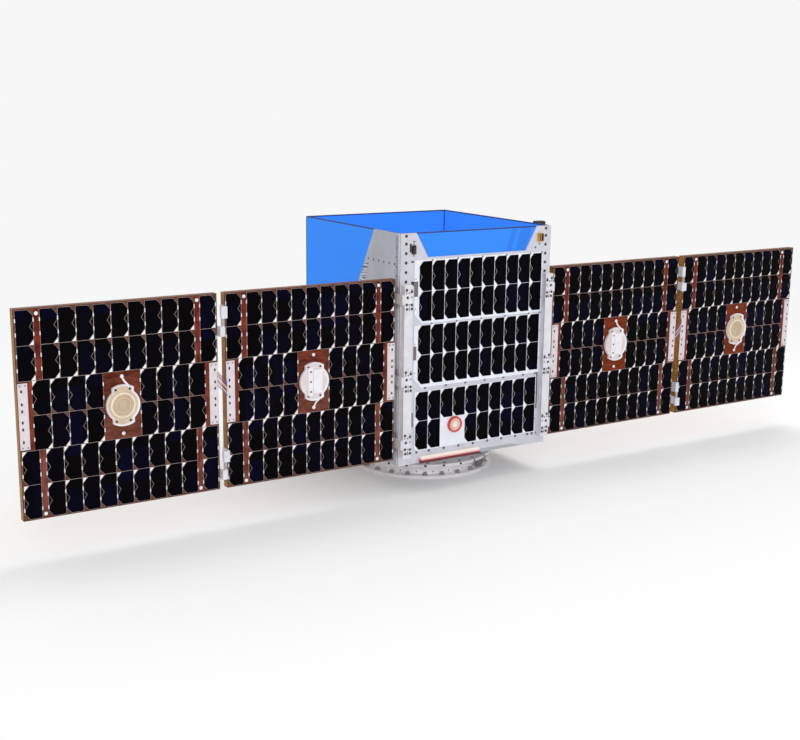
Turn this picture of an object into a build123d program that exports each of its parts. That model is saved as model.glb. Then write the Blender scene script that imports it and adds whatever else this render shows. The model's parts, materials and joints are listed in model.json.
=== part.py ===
"""Microsatellite with a separation ring, an open payload bin and two folding solar wings.

Millimetres. X runs across the bus, the cell side faces -Y and Z is up. The origin is the
centre of the separation ring's foot, and the wings are modelled deployed.
"""
from build123d import *
import os

# ---- separation ring
ring_outer = 206.0          # flange radius
ring_inner = 178.0          # bore radius of the bolted flanges
ring_bolt_circle = 190.5    # radius
ring_wall_outer = 201.5
ring_wall = 5.0
ring_flange = 8.0
ring_lower_height = 42.0    # foot to the plane where the two rings part
ring_upper_height = 40.0
ring_bolts = 24
ring_bolt_hole = 3.4        # radius

# ---- bus
bus_width = 500.0
bus_depth = 530.0
bus_height = 630.0
wall = 4.0                  # machined wall plates
deck = 12.0                 # sandwich decks
bay_height = 170.0          # closed avionics bay, under the payload deck
shoulder_height = 320.0     # top of the side and back plates, above the bus's foot
gusset_height = 66.0        # front corners, beside the bin's face
gusset_top = 50.0
gusset_foot = 87.0
side_gusset_top = 134.0
side_gusset_slope = 0.552   # how far the slanted edge runs back for each unit down
skirt_relief = 11.0         # shallow cut along the front plate's lower edge
skirt_tab = 72.0            # full-height tab left at each corner
skirt_taper = 48.0

# ---- payload bin and what the bay holds
bin_wall = 3.0
avionics_width = 320.0
avionics_height = 130.0
payload_hole_spacing = 400.0
payload_hole = 3.3          # radius
payload_hole_depth = 8.0    # in the deck, under the bin's floor

# ---- cells on the bus's face
face_plate = 2.4
face_left = -206.0
face_right = 221.0
face_low_left = -201.0      # the lowest plate is a little narrower
face_low_right = 214.0
face_top = 72.0             # first plate's top edge, below the bus's top
face_foot = 36.0            # lowest plate's foot, above the bus's foot
face_gap = 4.0              # between the upper two plates
face_gap_low = 12.0         # the bolted strip over the lowest plate
face_low_shorter = 7.0      # the lowest plate is this much shorter
face_chamfer = 26.0
face_chamfer_low = 8.0
face_notch = (12.0, 41.0, 56.0)         # cut in the top plate's left edge: width, height, drop
face_notch_middle = (9.0, 38.0, 56.0)

# ---- solar cells
cell_gap = 1.0              # between the cells of a row
cell_gap_face = 0.85        # the same on the bus's face
cell_row_gap = 0.85
cell_crop_width = 12.0      # two cropped corners on one long side
cell_crop_height = 14.5
cell_thick = 0.45           # with its cover glass
cell_thick_face = 0.25
cell_rows = 6
cell_columns = 11
cell_lead = 15.0            # bare column beside a row's first and last cell
cell_edge = 3.4             # from the panel's upper and lower edges
cell_edge_side = 4.2
short_rows = (2, 3)
short_row_columns = 4       # on each side of the cup
short_row_clearance = 4.4   # beside the cup
rows_cropped_left = (2, 4, 5)
face_columns = 10
face_edge = 15.0            # from the top plate's left edge to its first cell
face_edge_middle = 13.0
face_edge_low = 3.0
face_edge_right = 2.9
face_drop = 3.5             # from the top plate's upper edge to its first cells
face_drop_middle = 1.0
face_drop_low = 0.8
face_foot_low = 2.0         # from the lowest plate's lower edge to its cells
sensor_columns = (2, 3)     # left free in the lowest row

# ---- wings
wing_panel_width = 488.0
wing_panel_height = 492.0
wing_panel_thick = 20.0
root_gap = 14.5
mid_gap = 19.5
panel_lift = 20.5           # panel's lower edge above the bus's foot
blanket = 0.6               # cell blanket on the panel's face
blanket_margin = 1.5

# ---- hinges
root_axis_set = 3.0         # pin axis behind the panel's back face
root_hinge_heights = (43.0, 216.5, 437.5)
root_hinge_length = 56.0
root_knuckle = 26.0         # middle knuckle, on the bus
root_barrel = 5.0           # radius
root_pin = 2.5              # radius
root_leaf_width = 32.0
root_leaf = 5.0
root_arm = 4.5
rail_width = 26.0
rail_inset = 2.0            # from the bus's side
rail_proud = 20.0           # ahead of the front plate
rail_foot = 4.0             # above the panels' lower edge
rail_height = 472.0
bracket_proud = 1.5         # bolted hinge faces on the rail
rail_groove = (6.0, 2.0)    # cable groove along the rail's inner side: width and depth
rail_groove_set = 5.0       # behind the rail's front
mid_axis_set = 12.0         # pin axis ahead of the panel's face
mid_hinge_heights = (64.5, 424.5)
mid_hinge_length = 73.0
mid_knuckle_inner = 29.0
mid_knuckle_outer = 24.0
mid_barrel = 6.0            # radius
mid_pin = 3.0               # radius
mid_leaf = 4.0
mid_leaf_depth = 18.0       # how far the leaf runs down the panel's edge
pin_clearance = 0.05        # radial
knuckle_gap = 0.5

# ---- hold-down cups and harness strips
cup_radius = 41.0
cup_ear_radius = 50.0       # rounds off the ears above and below
cup_ear_half = 26.0
cup_rim = 3.0
cup_height = 8.0
cup_floor = 4.0
cup_strap = (26.0, 62.0, 2.4)           # width, height and thickness of the clamp on the floor
cup_strap_x = 10.0
strip_width = 22.0
strip_clearance = 3.5       # above and below, to the cells of the full rows
strip_thick = 2.0

# ---- small fittings on the bus
sensor_radius = 22.5
sensor_height = 9.0
sensor_rim = 7.0
sensor_dish = 4.0           # depth
sensor_x = -69.5
sensor_clearance = 0.5      # under the cells above it
connector = (13.0, 5.0, 24.0)
connector_flange = 1.5      # mounting flange: how thick, and how far the shell stands inside it
connector_x = -208.5
connector_drop = 44.0
imager = (17.0, 7.0, 23.0)
imager_x = 211.5
imager_drop = 31.5
imager_window = (8.0, 2.0, 19.0)        # recess: width, depth and height
antenna = (48.0, 24.0, 14.0)
antenna_set_back = 92.0
antenna_rise = 4.0          # above the bus's top
foot_rail = (196.0, 12.0, 20.0)
foot_rail_x = -83.0
foot_rail_slope = 6.0       # its long edges are cut back this much
foot_rail_drop = 1.0        # below the bus's foot

# ---- places worked out from the sizes above
ring_height = ring_lower_height + ring_upper_height
bus_foot = ring_height
bus_top = bus_foot + bus_height
front = -bus_depth / 2
back = bus_depth / 2
side = bus_width / 2
payload_deck_foot = bus_foot + bay_height
payload_deck_top = payload_deck_foot + deck
face_room = bus_height - face_top - face_foot - face_gap - face_gap_low
face_height = (face_room + face_low_shorter) / 3
face_low_height = face_height - face_low_shorter
panel_foot = bus_foot + panel_lift
panel_back = front + wing_panel_thick
root_edge = side + root_gap
mid_edge = root_edge + wing_panel_width
outer_edge = mid_edge + mid_gap
root_axis = (side + root_gap / 2, panel_back + root_axis_set)
mid_axis = (mid_edge + mid_gap / 2, front - mid_axis_set)
cell_columns_inner = cell_columns - 2
cells_across = wing_panel_width - 2 * (cell_edge_side + cell_lead) - (cell_columns_inner - 1) * cell_gap
cell_width = cells_across / cell_columns
cell_height = (wing_panel_height - 2 * cell_edge + cell_row_gap) / cell_rows - cell_row_gap
face_across = face_right - face_left - face_edge - face_edge_right
face_cell_width = (face_across + cell_gap_face) / face_columns - cell_gap_face
face_cell_height = (face_low_height - face_drop_low - face_foot_low - cell_row_gap) / 2
strip_height = 2 * (cell_height - strip_clearance) + cell_row_gap


def block(x0, x1, y0, y1, z0, z1):
    """A box between two corners, given in any order."""
    size = (abs(x1 - x0), abs(y1 - y0), abs(z1 - z0))
    return Pos((x0 + x1) / 2, (y0 + y1) / 2, (z0 + z1) / 2) * Box(*size)


def drum(x, y, z0, z1, radius):
    """An upright cylinder."""
    return Pos(x, y, (z0 + z1) / 2) * Cylinder(radius, z1 - z0)


def stud(x, z, y0, y1, radius):
    """A cylinder along Y."""
    return Pos(x, (y0 + y1) / 2, z) * Rot(90, 0, 0) * Cylinder(radius, abs(y1 - y0))


def front_prism(points, y0, y1):
    """An outline in X and Z, thickened from y0 back to y1."""
    outline = make_face(Polyline(*[(x, 0, z) for x, z in points], close=True))
    return Pos(0, y1, 0) * extrude(outline, amount=y1 - y0, dir=(0, -1, 0))


def side_prism(points, x0, x1):
    """An outline in Y and Z, thickened from x0 to x1."""
    outline = make_face(Polyline(*[(0, y, z) for y, z in points], close=True))
    return Pos(x0, 0, 0) * extrude(outline, amount=x1 - x0, dir=(1, 0, 0))


def turned(profile):
    """A profile of radii and heights, revolved about Z."""
    outline = make_face(Polyline(*[(radius, 0, z) for radius, z in profile], close=True))
    return revolve(outline, axis=Axis.Z)


def separation_rings():
    """The two halves of the ring: a wall, an outer flange where they part and an inner bolted one."""
    joint = ring_lower_height
    bore = ring_wall_outer - ring_wall
    lower = turned([
        (ring_inner, 0),
        (ring_outer, 0),
        (ring_outer, ring_flange),
        (ring_wall_outer, ring_flange),
        (ring_wall_outer, joint - ring_flange),
        (ring_outer, joint - ring_flange),
        (ring_outer, joint),
        (bore, joint),
        (bore, ring_flange),
        (ring_inner, ring_flange),
    ])
    for hole in PolarLocations(ring_bolt_circle, ring_bolts):
        lower -= hole * drum(0, 0, 0, ring_flange, ring_bolt_hole)
    upper = turned([
        (bore, joint),
        (ring_outer, joint),
        (ring_outer, joint + ring_flange),
        (ring_wall_outer, joint + ring_flange),
        (ring_wall_outer, ring_height),
        (ring_inner, ring_height),
        (ring_inner, ring_height - ring_flange),
        (bore, ring_height - ring_flange),
    ])
    return {"lower_ring": lower, "upper_ring": upper}


def front_plate():
    """The front wall, cut down between its two gussets to show the bin."""
    sill = bus_top - gusset_height
    skirt = bus_foot + skirt_relief
    half = [
        (side - skirt_tab - skirt_taper, skirt),
        (side - skirt_tab, bus_foot),
        (side, bus_foot),
        (side, bus_top),
        (side - gusset_top, bus_top),
        (side - gusset_foot, sill),
    ]
    outline = half + [(-x, z) for x, z in reversed(half)]
    return front_prism(outline, front, front + wall)


def side_plate(sign):
    shoulder = bus_foot + shoulder_height
    lean = (bus_top - shoulder) * side_gusset_slope
    outline = [
        (front + wall, bus_foot),
        (back - wall, bus_foot),
        (back - wall, shoulder),
        (front + side_gusset_top + lean, shoulder),
        (front + side_gusset_top, bus_top),
        (front + wall, bus_top),
    ]
    start = side - wall if sign > 0 else -side
    return side_prism(outline, start, start + wall)


def bin_panels(outer_x, outer_y):
    """The open payload bin: a floor, two long walls and two end walls butted between them."""
    floor_top = payload_deck_top + bin_wall
    inner_x, inner_y = outer_x - bin_wall, outer_y - bin_wall
    return {
        "bin_floor": block(-outer_x, outer_x, -outer_y, outer_y, payload_deck_top, floor_top),
        "bin_front": block(-outer_x, outer_x, -outer_y, -inner_y, floor_top, bus_top),
        "bin_back": block(-outer_x, outer_x, inner_y, outer_y, floor_top, bus_top),
        "bin_left": block(-outer_x, -inner_x, -inner_y, inner_y, floor_top, bus_top),
        "bin_right": block(inner_x, outer_x, -inner_y, inner_y, floor_top, bus_top),
    }


def bus_structure():
    inner_x, inner_y = side - wall, back - wall
    floor = block(-inner_x, inner_x, -inner_y, inner_y, bus_foot, bus_foot + deck)
    shelf = block(-inner_x, inner_x, -inner_y, inner_y, payload_deck_foot, payload_deck_top)
    bin_parts = bin_panels(inner_x, inner_y)
    drill = drum(0, 0, payload_deck_top - payload_hole_depth, payload_deck_top + bin_wall, payload_hole)
    for hole in GridLocations(payload_hole_spacing, payload_hole_spacing, 2, 2):
        bin_parts["bin_floor"] -= hole * drill
        shelf -= hole * drill
    half = avionics_width / 2
    box_top = bus_foot + deck + avionics_height
    return {
        "front_plate": front_plate(),
        "back_plate": block(-side, side, back - wall, back, bus_foot, bus_foot + shoulder_height),
        "left_plate": side_plate(-1),
        "right_plate": side_plate(1),
        "bottom_deck": floor,
        "payload_deck": shelf,
        "avionics_unit": block(-half, half, -half, half, bus_foot + deck, box_top),
        **bin_parts,
    }


def cell(x, top, width, height, crop_side, seat, thick):
    """One solar cell under its upper edge: a rectangle with two cropped corners on one long side."""
    edge, inset = crop_side * width / 2, crop_side * (width / 2 - cell_crop_width)
    upper, lower, foot = top - cell_crop_height, top - height + cell_crop_height, top - height
    outline = [(-edge, top), (inset, top), (edge, upper), (edge, lower), (inset, foot), (-edge, foot)]
    return front_prism([(x + across, z) for across, z in outline], seat - thick, seat)


def cell_places(row):
    """How far each cell of a row stands from the panel's middle."""
    pitch = cell_width + cell_gap
    if row in short_rows:
        nearest = cup_radius + short_row_clearance + cell_width / 2
        right_half = [nearest + step * pitch for step in range(short_row_columns)]
        return right_half + [-across for across in right_half]
    last = (wing_panel_width - cell_width) / 2 - cell_edge_side
    inner = [(step - (cell_columns_inner - 1) / 2) * pitch for step in range(cell_columns_inner)]
    return [-last, last] + inner


def face_plates():
    """Three cell carriers on the front wall, each with a cut lower left corner and two rows of cells."""
    # name, (left edge, right edge, height), gap above, chamfer, edge notch, (first cell, cells' drop)
    wide, narrow = (face_left, face_right, face_height), (face_low_left, face_low_right, face_low_height)
    table = [
        ("top", wide, 0, face_chamfer, face_notch, (face_edge, face_drop)),
        ("middle", wide, face_gap, face_chamfer, face_notch_middle, (face_edge_middle, face_drop_middle)),
        ("bottom", narrow, face_gap_low, face_chamfer_low, None, (face_edge_low, face_drop_low)),
    ]
    plates = {}
    top = bus_top - face_top
    seat = front - face_plate
    for name, (left, right, height), gap, cut, notch, (cells_left, cells_drop) in table:
        top -= gap
        foot = top - height
        outline = [(left, top), (right, top), (right, foot), (left + cut, foot), (left, foot + cut)]
        plate = front_prism(outline, seat, front)
        if notch:
            notch_width, notch_height, drop = notch
            plate -= block(left, left + notch_width, seat, front, top - drop - notch_height, top - drop)
        cells = []
        first = left + cells_left + face_cell_width / 2
        for row in range(2):
            row_top = top - cells_drop - row * (face_cell_height + cell_row_gap)
            for column in range(face_columns):
                if name == "bottom" and row == 1 and column in sensor_columns:
                    continue
                x = first + column * (face_cell_width + cell_gap_face)
                cells.append(cell(x, row_top, face_cell_width, face_cell_height, -1, seat, cell_thick_face))
        plates[f"face_plate_{name}"] = plate + cells
        top = foot
    return plates


def hinge_rail(sign):
    """The bus's half of the root hinge: a proud rail, bolted faces, and arms round the corner."""
    outer = sign * (side - rail_inset)
    inner = sign * (side - rail_inset - rail_width)
    rail_front = front - rail_proud
    foot = panel_foot + rail_foot
    rail = block(outer, inner, rail_front, front, foot, foot + rail_height)
    groove_wide, groove_deep = rail_groove
    groove = rail_front + rail_groove_set
    floor = inner + sign * groove_deep
    for lower, upper in zip(root_hinge_heights, root_hinge_heights[1:]):
        ends = panel_foot + lower + root_hinge_length, panel_foot + upper - root_hinge_length
        rail -= block(inner, floor, groove, groove + groove_wide, *ends)
    axis_x, axis_y = sign * root_axis[0], root_axis[1]
    for height in root_hinge_heights:
        z = panel_foot + height
        half = root_hinge_length / 2
        rail += block(inner, outer, rail_front - bracket_proud, rail_front, z - half, z + half)
        low, high = z - root_knuckle / 2, z + root_knuckle / 2
        rail += block(outer, sign * side, rail_front, front, low, high)
        rail += block(sign * side, sign * (side + root_arm), rail_front, axis_y, low, high)
        rail += drum(axis_x, axis_y, low, high, root_barrel)
        rail += drum(axis_x, axis_y, z - half, z + half, root_pin)
    return rail


def root_leaves(sign):
    """The wing's half of the root hinge: a strap on the panel's back with two knuckles, thrice."""
    axis_x, axis_y = sign * root_axis[0], root_axis[1]
    leaves = []
    for height in root_hinge_heights:
        z = panel_foot + height
        half = root_hinge_length / 2
        strap_end = sign * (root_edge + root_leaf_width)
        leaf = block(sign * root_edge, strap_end, panel_back, panel_back + root_leaf, z - half, z + half)
        inner_end = root_knuckle / 2 + knuckle_gap
        for low, high in ((z - half, z - inner_end), (z + inner_end, z + half)):
            leaf += block(axis_x, sign * root_edge, panel_back, panel_back + root_leaf, low, high)
            leaf += drum(axis_x, axis_y, low, high, root_barrel)
            leaf -= drum(axis_x, axis_y, low, high, root_pin + pin_clearance)
        leaves.append(leaf)
    return Compound(children=leaves)


def mid_leaf_solid(sign, edge, low, high):
    """A leaf on a panel's edge with its knuckle, ahead of the panel's face."""
    axis_x, axis_y = sign * mid_axis[0], mid_axis[1]
    toward = 1 if mid_axis[0] > edge else -1
    face = sign * (edge + toward * mid_leaf)
    leaf = block(sign * edge, face, axis_y - mid_barrel, front + mid_leaf_depth, low, high)
    leaf += block(sign * edge, axis_x, axis_y - mid_barrel, axis_y + mid_barrel, low, high)
    return leaf + drum(axis_x, axis_y, low, high, mid_barrel)


def mid_leaves(sign):
    """The two hinges between a wing's panels: the inner leaf holds the pin."""
    axis_x, axis_y = sign * mid_axis[0], mid_axis[1]
    inner, outer = [], []
    for height in mid_hinge_heights:
        foot = panel_foot + height - mid_hinge_length / 2
        top = foot + mid_hinge_length
        leaf = mid_leaf_solid(sign, mid_edge, top - mid_knuckle_inner, top)
        inner.append(leaf + drum(axis_x, axis_y, foot, top, mid_pin))
        other = mid_leaf_solid(sign, outer_edge, foot, foot + mid_knuckle_outer)
        other -= drum(axis_x, axis_y, foot, foot + mid_knuckle_outer, mid_pin + pin_clearance)
        outer.append(other)
    return Compound(children=inner), Compound(children=outer)


def cup_outline(x, z, y0, y1, inset):
    """The cup's round plan with an ear above and below, drawn in by an inset."""
    half = cup_ear_half - inset
    reach = cup_ear_radius - inset
    ears = stud(x, z, y0, y1, reach) & block(x - half, x + half, y0, y1, z - reach, z + reach)
    return stud(x, z, y0, y1, cup_radius - inset) + ears


def hold_down_cup(x):
    """A shallow cup with rounded ears, a thin rim and a clamp strap on its floor."""
    z = panel_foot + wing_panel_height / 2
    seat = front - blanket
    floor = seat - cup_floor
    cup = cup_outline(x, z, seat, seat - cup_height, 0)
    cup -= cup_outline(x, z, floor, seat - cup_height, cup_rim)
    wide, tall, thick = cup_strap
    centre = x + cup_strap_x
    return cup + block(centre - wide / 2, centre + wide / 2, floor - thick, floor, z - tall / 2, z + tall / 2)


def wing_panel(name, near, sign):
    """A panel with its cell blanket, hold-down cup and the two harness strips at its edges."""
    far = near + wing_panel_width
    top = panel_foot + wing_panel_height
    parts = {f"{name}_panel": block(sign * near, sign * far, front, panel_back, panel_foot, top)}
    edges = sign * (near + blanket_margin), sign * (far - blanket_margin)
    low, high = panel_foot + blanket_margin, top - blanket_margin
    middle = sign * (near + far) / 2
    seat = front - blanket
    cells = []
    for row in range(cell_rows):
        row_top = top - cell_edge - row * (cell_height + cell_row_gap)
        crop_side = -1 if row in rows_cropped_left else 1
        for across in cell_places(row):
            cells.append(cell(middle + across, row_top, cell_width, cell_height, crop_side, seat, cell_thick))
    parts[f"{name}_cells"] = block(*edges, seat, front, low, high) + cells
    centre = panel_foot + wing_panel_height / 2
    strips = []
    for edge, inward in ((near + blanket_margin, 1), (far - blanket_margin, -1)):
        ends = sign * edge, sign * (edge + inward * strip_width)
        low, high = centre - strip_height / 2, centre + strip_height / 2
        strips.append(block(*ends, seat - strip_thick, seat, low, high))
    parts[f"{name}_strips"] = Compound(children=strips)
    parts[f"{name}_cup"] = hold_down_cup(middle)
    return parts


def wing(label, sign):
    parts = wing_panel(f"{label}_inner", root_edge, sign)
    parts.update(wing_panel(f"{label}_outer", outer_edge, sign))
    parts[f"{label}_hinge_rail"] = hinge_rail(sign)
    parts[f"{label}_root_leaves"] = root_leaves(sign)
    inner, outer = mid_leaves(sign)
    parts[f"{label}_mid_leaves_inner"] = inner
    parts[f"{label}_mid_leaves_outer"] = outer
    return parts


def fittings():
    """The sun sensor, connector, imager, side antenna and the padded foot rail."""
    seat = front - face_plate
    cells_foot = bus_foot + face_foot + face_low_height - face_drop_low - face_cell_height
    z = cells_foot - sensor_clearance - sensor_radius
    sensor = stud(sensor_x, z, seat, seat - sensor_height, sensor_radius)
    dish = seat - sensor_height + sensor_dish
    sensor -= stud(sensor_x, z, dish, seat - sensor_height, sensor_radius - sensor_rim)
    wide, proud, tall = connector
    x, z = connector_x, bus_top - connector_drop
    shell_x, shell_z = wide / 2 - connector_flange, tall / 2 - connector_flange
    plug = block(x - wide / 2, x + wide / 2, front - connector_flange, front, z - tall / 2, z + tall / 2)
    plug += block(x - shell_x, x + shell_x, front - proud, front, z - shell_z, z + shell_z)
    wide, proud, tall = imager
    x, z = imager_x, bus_top - imager_drop
    camera = block(x - wide / 2, x + wide / 2, front - proud, front, z - tall / 2, z + tall / 2)
    wide, deep, tall = imager_window
    face = front - proud
    camera -= block(x, x + wide, face, face + deep, z - tall / 2, z + tall / 2)
    wide, deep, tall = antenna
    y, top = front + antenna_set_back, bus_top + antenna_rise
    patch = block(side, side + wide, y - deep / 2, y + deep / 2, top - tall, top)
    long, deep, tall = foot_rail
    low, high = bus_foot - foot_rail_drop, bus_foot - foot_rail_drop + tall
    nose = front - deep
    profile = [
        (front, low),
        (nose + foot_rail_slope, low),
        (nose, low + foot_rail_slope),
        (nose, high - foot_rail_slope),
        (nose + foot_rail_slope, high),
        (front, high),
    ]
    rail = side_prism(profile, foot_rail_x - long / 2, foot_rail_x + long / 2)
    return {
        "sun_sensor": sensor,
        "face_connector": plug,
        "corner_imager": camera,
        "side_antenna": patch,
        "foot_rail": rail,
    }


def main():
    parts = separation_rings()
    parts.update(bus_structure())
    parts.update(face_plates())
    parts.update(fittings())
    for label, sign in (("left", -1), ("right", 1)):
        parts.update(wing(label, sign))
    os.makedirs("parts", exist_ok=True)
    for name, solid in parts.items():
        export_step(solid, f"parts/{name}.step")
        print(name, len(solid.solids()), round(solid.volume))


main()
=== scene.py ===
# %% [markdown]
# # A microsatellite with two folding solar wings
#
# The real object is a small spacecraft: an aluminium bus that stands on a separation ring, with an open
# blue payload bin, solar cells on its front wall and a two-panel wing on each side. The solid parts come
# from the CAD frame, and this file dresses them: it gives every solid a finish and adds what is too small
# or too thin for the solids, such as cell tabs, screws, wires and film.

import json
from functools import partialmethod
from math import acos, cos, pi, radians, sin

import bmesh
import bpy
from mathutils import Matrix, Vector, noise


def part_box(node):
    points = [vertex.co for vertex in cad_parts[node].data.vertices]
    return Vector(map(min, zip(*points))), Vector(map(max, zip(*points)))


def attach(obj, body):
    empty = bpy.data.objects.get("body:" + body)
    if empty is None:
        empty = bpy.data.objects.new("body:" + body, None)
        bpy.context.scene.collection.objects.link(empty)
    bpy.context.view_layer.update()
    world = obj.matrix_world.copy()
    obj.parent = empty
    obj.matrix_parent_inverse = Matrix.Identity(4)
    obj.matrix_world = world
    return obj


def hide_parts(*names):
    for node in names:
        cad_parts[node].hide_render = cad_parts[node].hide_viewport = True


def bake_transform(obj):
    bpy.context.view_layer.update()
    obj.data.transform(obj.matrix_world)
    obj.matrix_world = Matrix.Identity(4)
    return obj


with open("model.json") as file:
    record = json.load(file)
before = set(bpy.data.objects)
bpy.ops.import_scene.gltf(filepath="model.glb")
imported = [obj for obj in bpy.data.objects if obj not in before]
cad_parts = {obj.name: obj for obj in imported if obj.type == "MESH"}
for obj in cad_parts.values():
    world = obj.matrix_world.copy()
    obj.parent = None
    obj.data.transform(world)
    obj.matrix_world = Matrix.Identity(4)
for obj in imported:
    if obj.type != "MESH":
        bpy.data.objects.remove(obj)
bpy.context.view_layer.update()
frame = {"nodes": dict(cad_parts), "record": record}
nodes = frame["nodes"]

# %% [markdown]
# ## Sizes
#
# Blender works in metres and a maker thinks in millimetres, so one factor turns one into the other. The
# places of the big pieces are read from the frame's boxes. Only the small things have sizes of their own.

# %% Units and the places of the main solids
mm = 0.001
SIDES = {"left": -1, "right": 1}
WINGS = [f"{side}_{ring}" for side in SIDES for ring in ("inner", "outer")]


def box_mm(node):
    """The two corners of a solid's box, in millimetres."""
    return [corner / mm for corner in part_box(node)]


front_low, front_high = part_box("front_plate")
wall_y, side_x = front_low.y / mm, front_high.x / mm
foot_z, top_z = front_low.z / mm, front_high.z / mm
print("bus", round(side_x * 2), "mm wide and", round(top_z - foot_z), "mm tall")

# %% [markdown]
# ## A little node language
#
# Procedural finishes are arithmetic on patterns. Wiring Math nodes by hand hides that arithmetic, so this
# class wraps a socket and overloads Python's operators: `0.3 + cloud * 0.2` adds the nodes by itself. Colours
# are mixed with a Mix node, because a Math node would turn them grey. The same few lines build the finishes,
# the world and the Geometry Nodes further down.


# %% Nodes, and values that do arithmetic
def tone(red, green, blue):
    """A screen colour, from 0 to 255, as the linear values that shaders use."""
    def linear(part):
        part = part / 255
        return part / 12.92 if part <= 0.04045 else ((part + 0.055) / 1.055) ** 2.4

    return (linear(red), linear(green), linear(blue), 1.0)


def feed(tree, socket, value):
    """Links a value or a socket into an input, or sets a number there. Colours are given from 0 to 255."""
    source = getattr(value, "socket", value)
    if isinstance(source, bpy.types.NodeSocket):
        tree.links.new(source, socket)
    else:
        socket.default_value = tone(*source) if socket.type == "RGBA" else source


def add_node(tree, kind, inputs=None, output=0, **settings):
    """Adds a node, gives it its settings, feeds its inputs and hands back one of its outputs."""
    made = tree.nodes.new(kind)
    for key, value in settings.items():
        setattr(made, key, value)
    for key, value in (inputs or {}).items():
        feed(tree, made.inputs[key], value)
    return Value(tree, made.outputs[output])


class Value:
    """One output socket, which can be added, multiplied, raised and so on."""

    def __init__(self, tree, socket):
        self.tree = tree
        self.socket = socket

    def math(self, operation, *others):
        inputs = dict(enumerate((self, *others)))
        return add_node(self.tree, "ShaderNodeMath", inputs, operation=operation)

    __add__ = __radd__ = partialmethod(math, "ADD")
    __sub__ = partialmethod(math, "SUBTRACT")
    __mul__ = __rmul__ = partialmethod(math, "MULTIPLY")
    __gt__ = partialmethod(math, "GREATER_THAN")
    __lt__ = partialmethod(math, "LESS_THAN")
    power = partialmethod(math, "POWER")
    absolute = partialmethod(math, "ABSOLUTE")

    def clamp(self):
        return self.math("MINIMUM", 1.0).math("MAXIMUM", 0.0)


# %% [markdown]
# ## A finish
#
# Every material here is one Principled shader with a few patterns in front of it. A finish also knows the
# frame's material slot that it stands for, so the frame's solids find their finishes by their slots.


# %% The material maker
class Finish:
    """A material whose nodes come from one method, with the slot of its pieces."""

    def __init__(self, name, slot, colour, roughness, metallic=0.0, **constants):
        self.slot = slot
        self.material = bpy.data.materials.new(name)
        self.material.use_nodes = True
        self.tree = self.material.node_tree
        self.shader = self.tree.nodes["Principled BSDF"]
        constants = {"Base_Color": colour, "Roughness": roughness, "Metallic": metallic, **constants}
        for socket, value in constants.items():
            self.set(socket.replace("_", " "), value)

    def set(self, socket, value):
        feed(self.tree, self.shader.inputs[socket], value)

    def node(self, kind, inputs=None, output=0, **settings):
        return add_node(self.tree, kind, inputs, output, **settings)

    def place(self):
        return self.node("ShaderNodeTexCoord", output="Object")

    def axis(self, name, of=None):
        return self.node("ShaderNodeSeparateXYZ", {0: of or self.place()}, name)

    def noise(self, scale, detail=3.0, stretch=(1, 1, 1), rough=0.5):
        """Noise of the given scale in cells a metre, stretched along an axis by a factor under 1."""
        where = self.node("ShaderNodeMapping", {"Vector": self.place(), "Scale": stretch})
        inputs = {"Vector": where, "Scale": scale, "Detail": detail, "Roughness": rough}
        return self.node("ShaderNodeTexNoise", inputs)

    def mix(self, factor, first, second):
        inputs = {0: factor, 6: first, 7: second}
        return self.node("ShaderNodeMix", inputs, 2, data_type="RGBA", clamp_factor=True)

    def bump(self, height, distance, strength=1.0):
        inputs = {"Height": height, "Distance": distance, "Strength": strength}
        self.set("Normal", self.node("ShaderNodeBump", inputs))


# %% [markdown]
# ## Camera
#
# The camera stands ahead of the left wing, a little above it, and looks down across the bus. It is turned by
# three angles one after the other: a heading about Z, a tilt about its own X, and a small roll.

# %% The camera
heading, tilt, roll = radians(-32.37), radians(90 - 12.43), radians(0.69)
camera_data = bpy.data.cameras.new("camera")
camera_data.sensor_width = 36
camera_data.lens = 56.59
camera = bpy.data.objects.new("camera", camera_data)
turned = Matrix.Rotation(heading, 4, "Z") @ Matrix.Rotation(tilt, 4, "X") @ Matrix.Rotation(roll, 4, "Z")
camera.matrix_world = Matrix.Translation((-1.9986, -3.0282, 1.0703)) @ turned
bpy.context.scene.collection.objects.link(camera)
bpy.context.scene.camera = camera
print("camera at", [round(value, 2) for value in camera.location])

# %% [markdown]
# ## Light and floor
#
# A cut-out product picture has even light and no horizon. The world gives most of the light, and two large
# soft lamps give the faces their slight differences. Only what the camera and mirrors see of the world is
# the pale backdrop, so the backdrop's level and the light's level are set apart. The floor takes shadows
# near the object and fades into the backdrop further out.

# %% World, lamps and floor
backdrop = (247, 247, 247)
sky_level = 0.72


def seen_directly(tree):
    """1 for rays from the camera, from gloss and through glass, and 0 for the rays that light things."""
    path = tree.nodes.new("ShaderNodeLightPath").outputs
    seen = Value(tree, path["Is Camera Ray"])
    for name in ("Is Glossy Ray", "Is Transmission Ray"):
        seen = seen.math("MAXIMUM", path[name])
    return seen


def backdrop_world():
    world = bpy.data.worlds.new("studio")
    world.use_nodes = True
    tree = world.node_tree
    lit = tree.nodes["Background"]
    feed(tree, lit.inputs["Color"], (255, 255, 255))
    feed(tree, lit.inputs["Strength"], sky_level)
    shown = add_node(tree, "ShaderNodeBackground", {"Color": backdrop})
    mixed = add_node(tree, "ShaderNodeMixShader", {0: seen_directly(tree), 1: lit.outputs[0], 2: shown})
    feed(tree, tree.nodes["World Output"].inputs["Surface"], mixed)
    return world


def soft_lamp(name, place, target, size, watts):
    data = bpy.data.lights.new(name, "AREA")
    data.shape = "DISK"
    data.size = size
    data.energy = watts
    lamp = bpy.data.objects.new(name, data)
    lamp.location = place
    lamp.rotation_euler = (Vector(target) - Vector(place)).to_track_quat("-Z", "Y").to_euler()
    bpy.context.scene.collection.objects.link(lamp)


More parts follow.
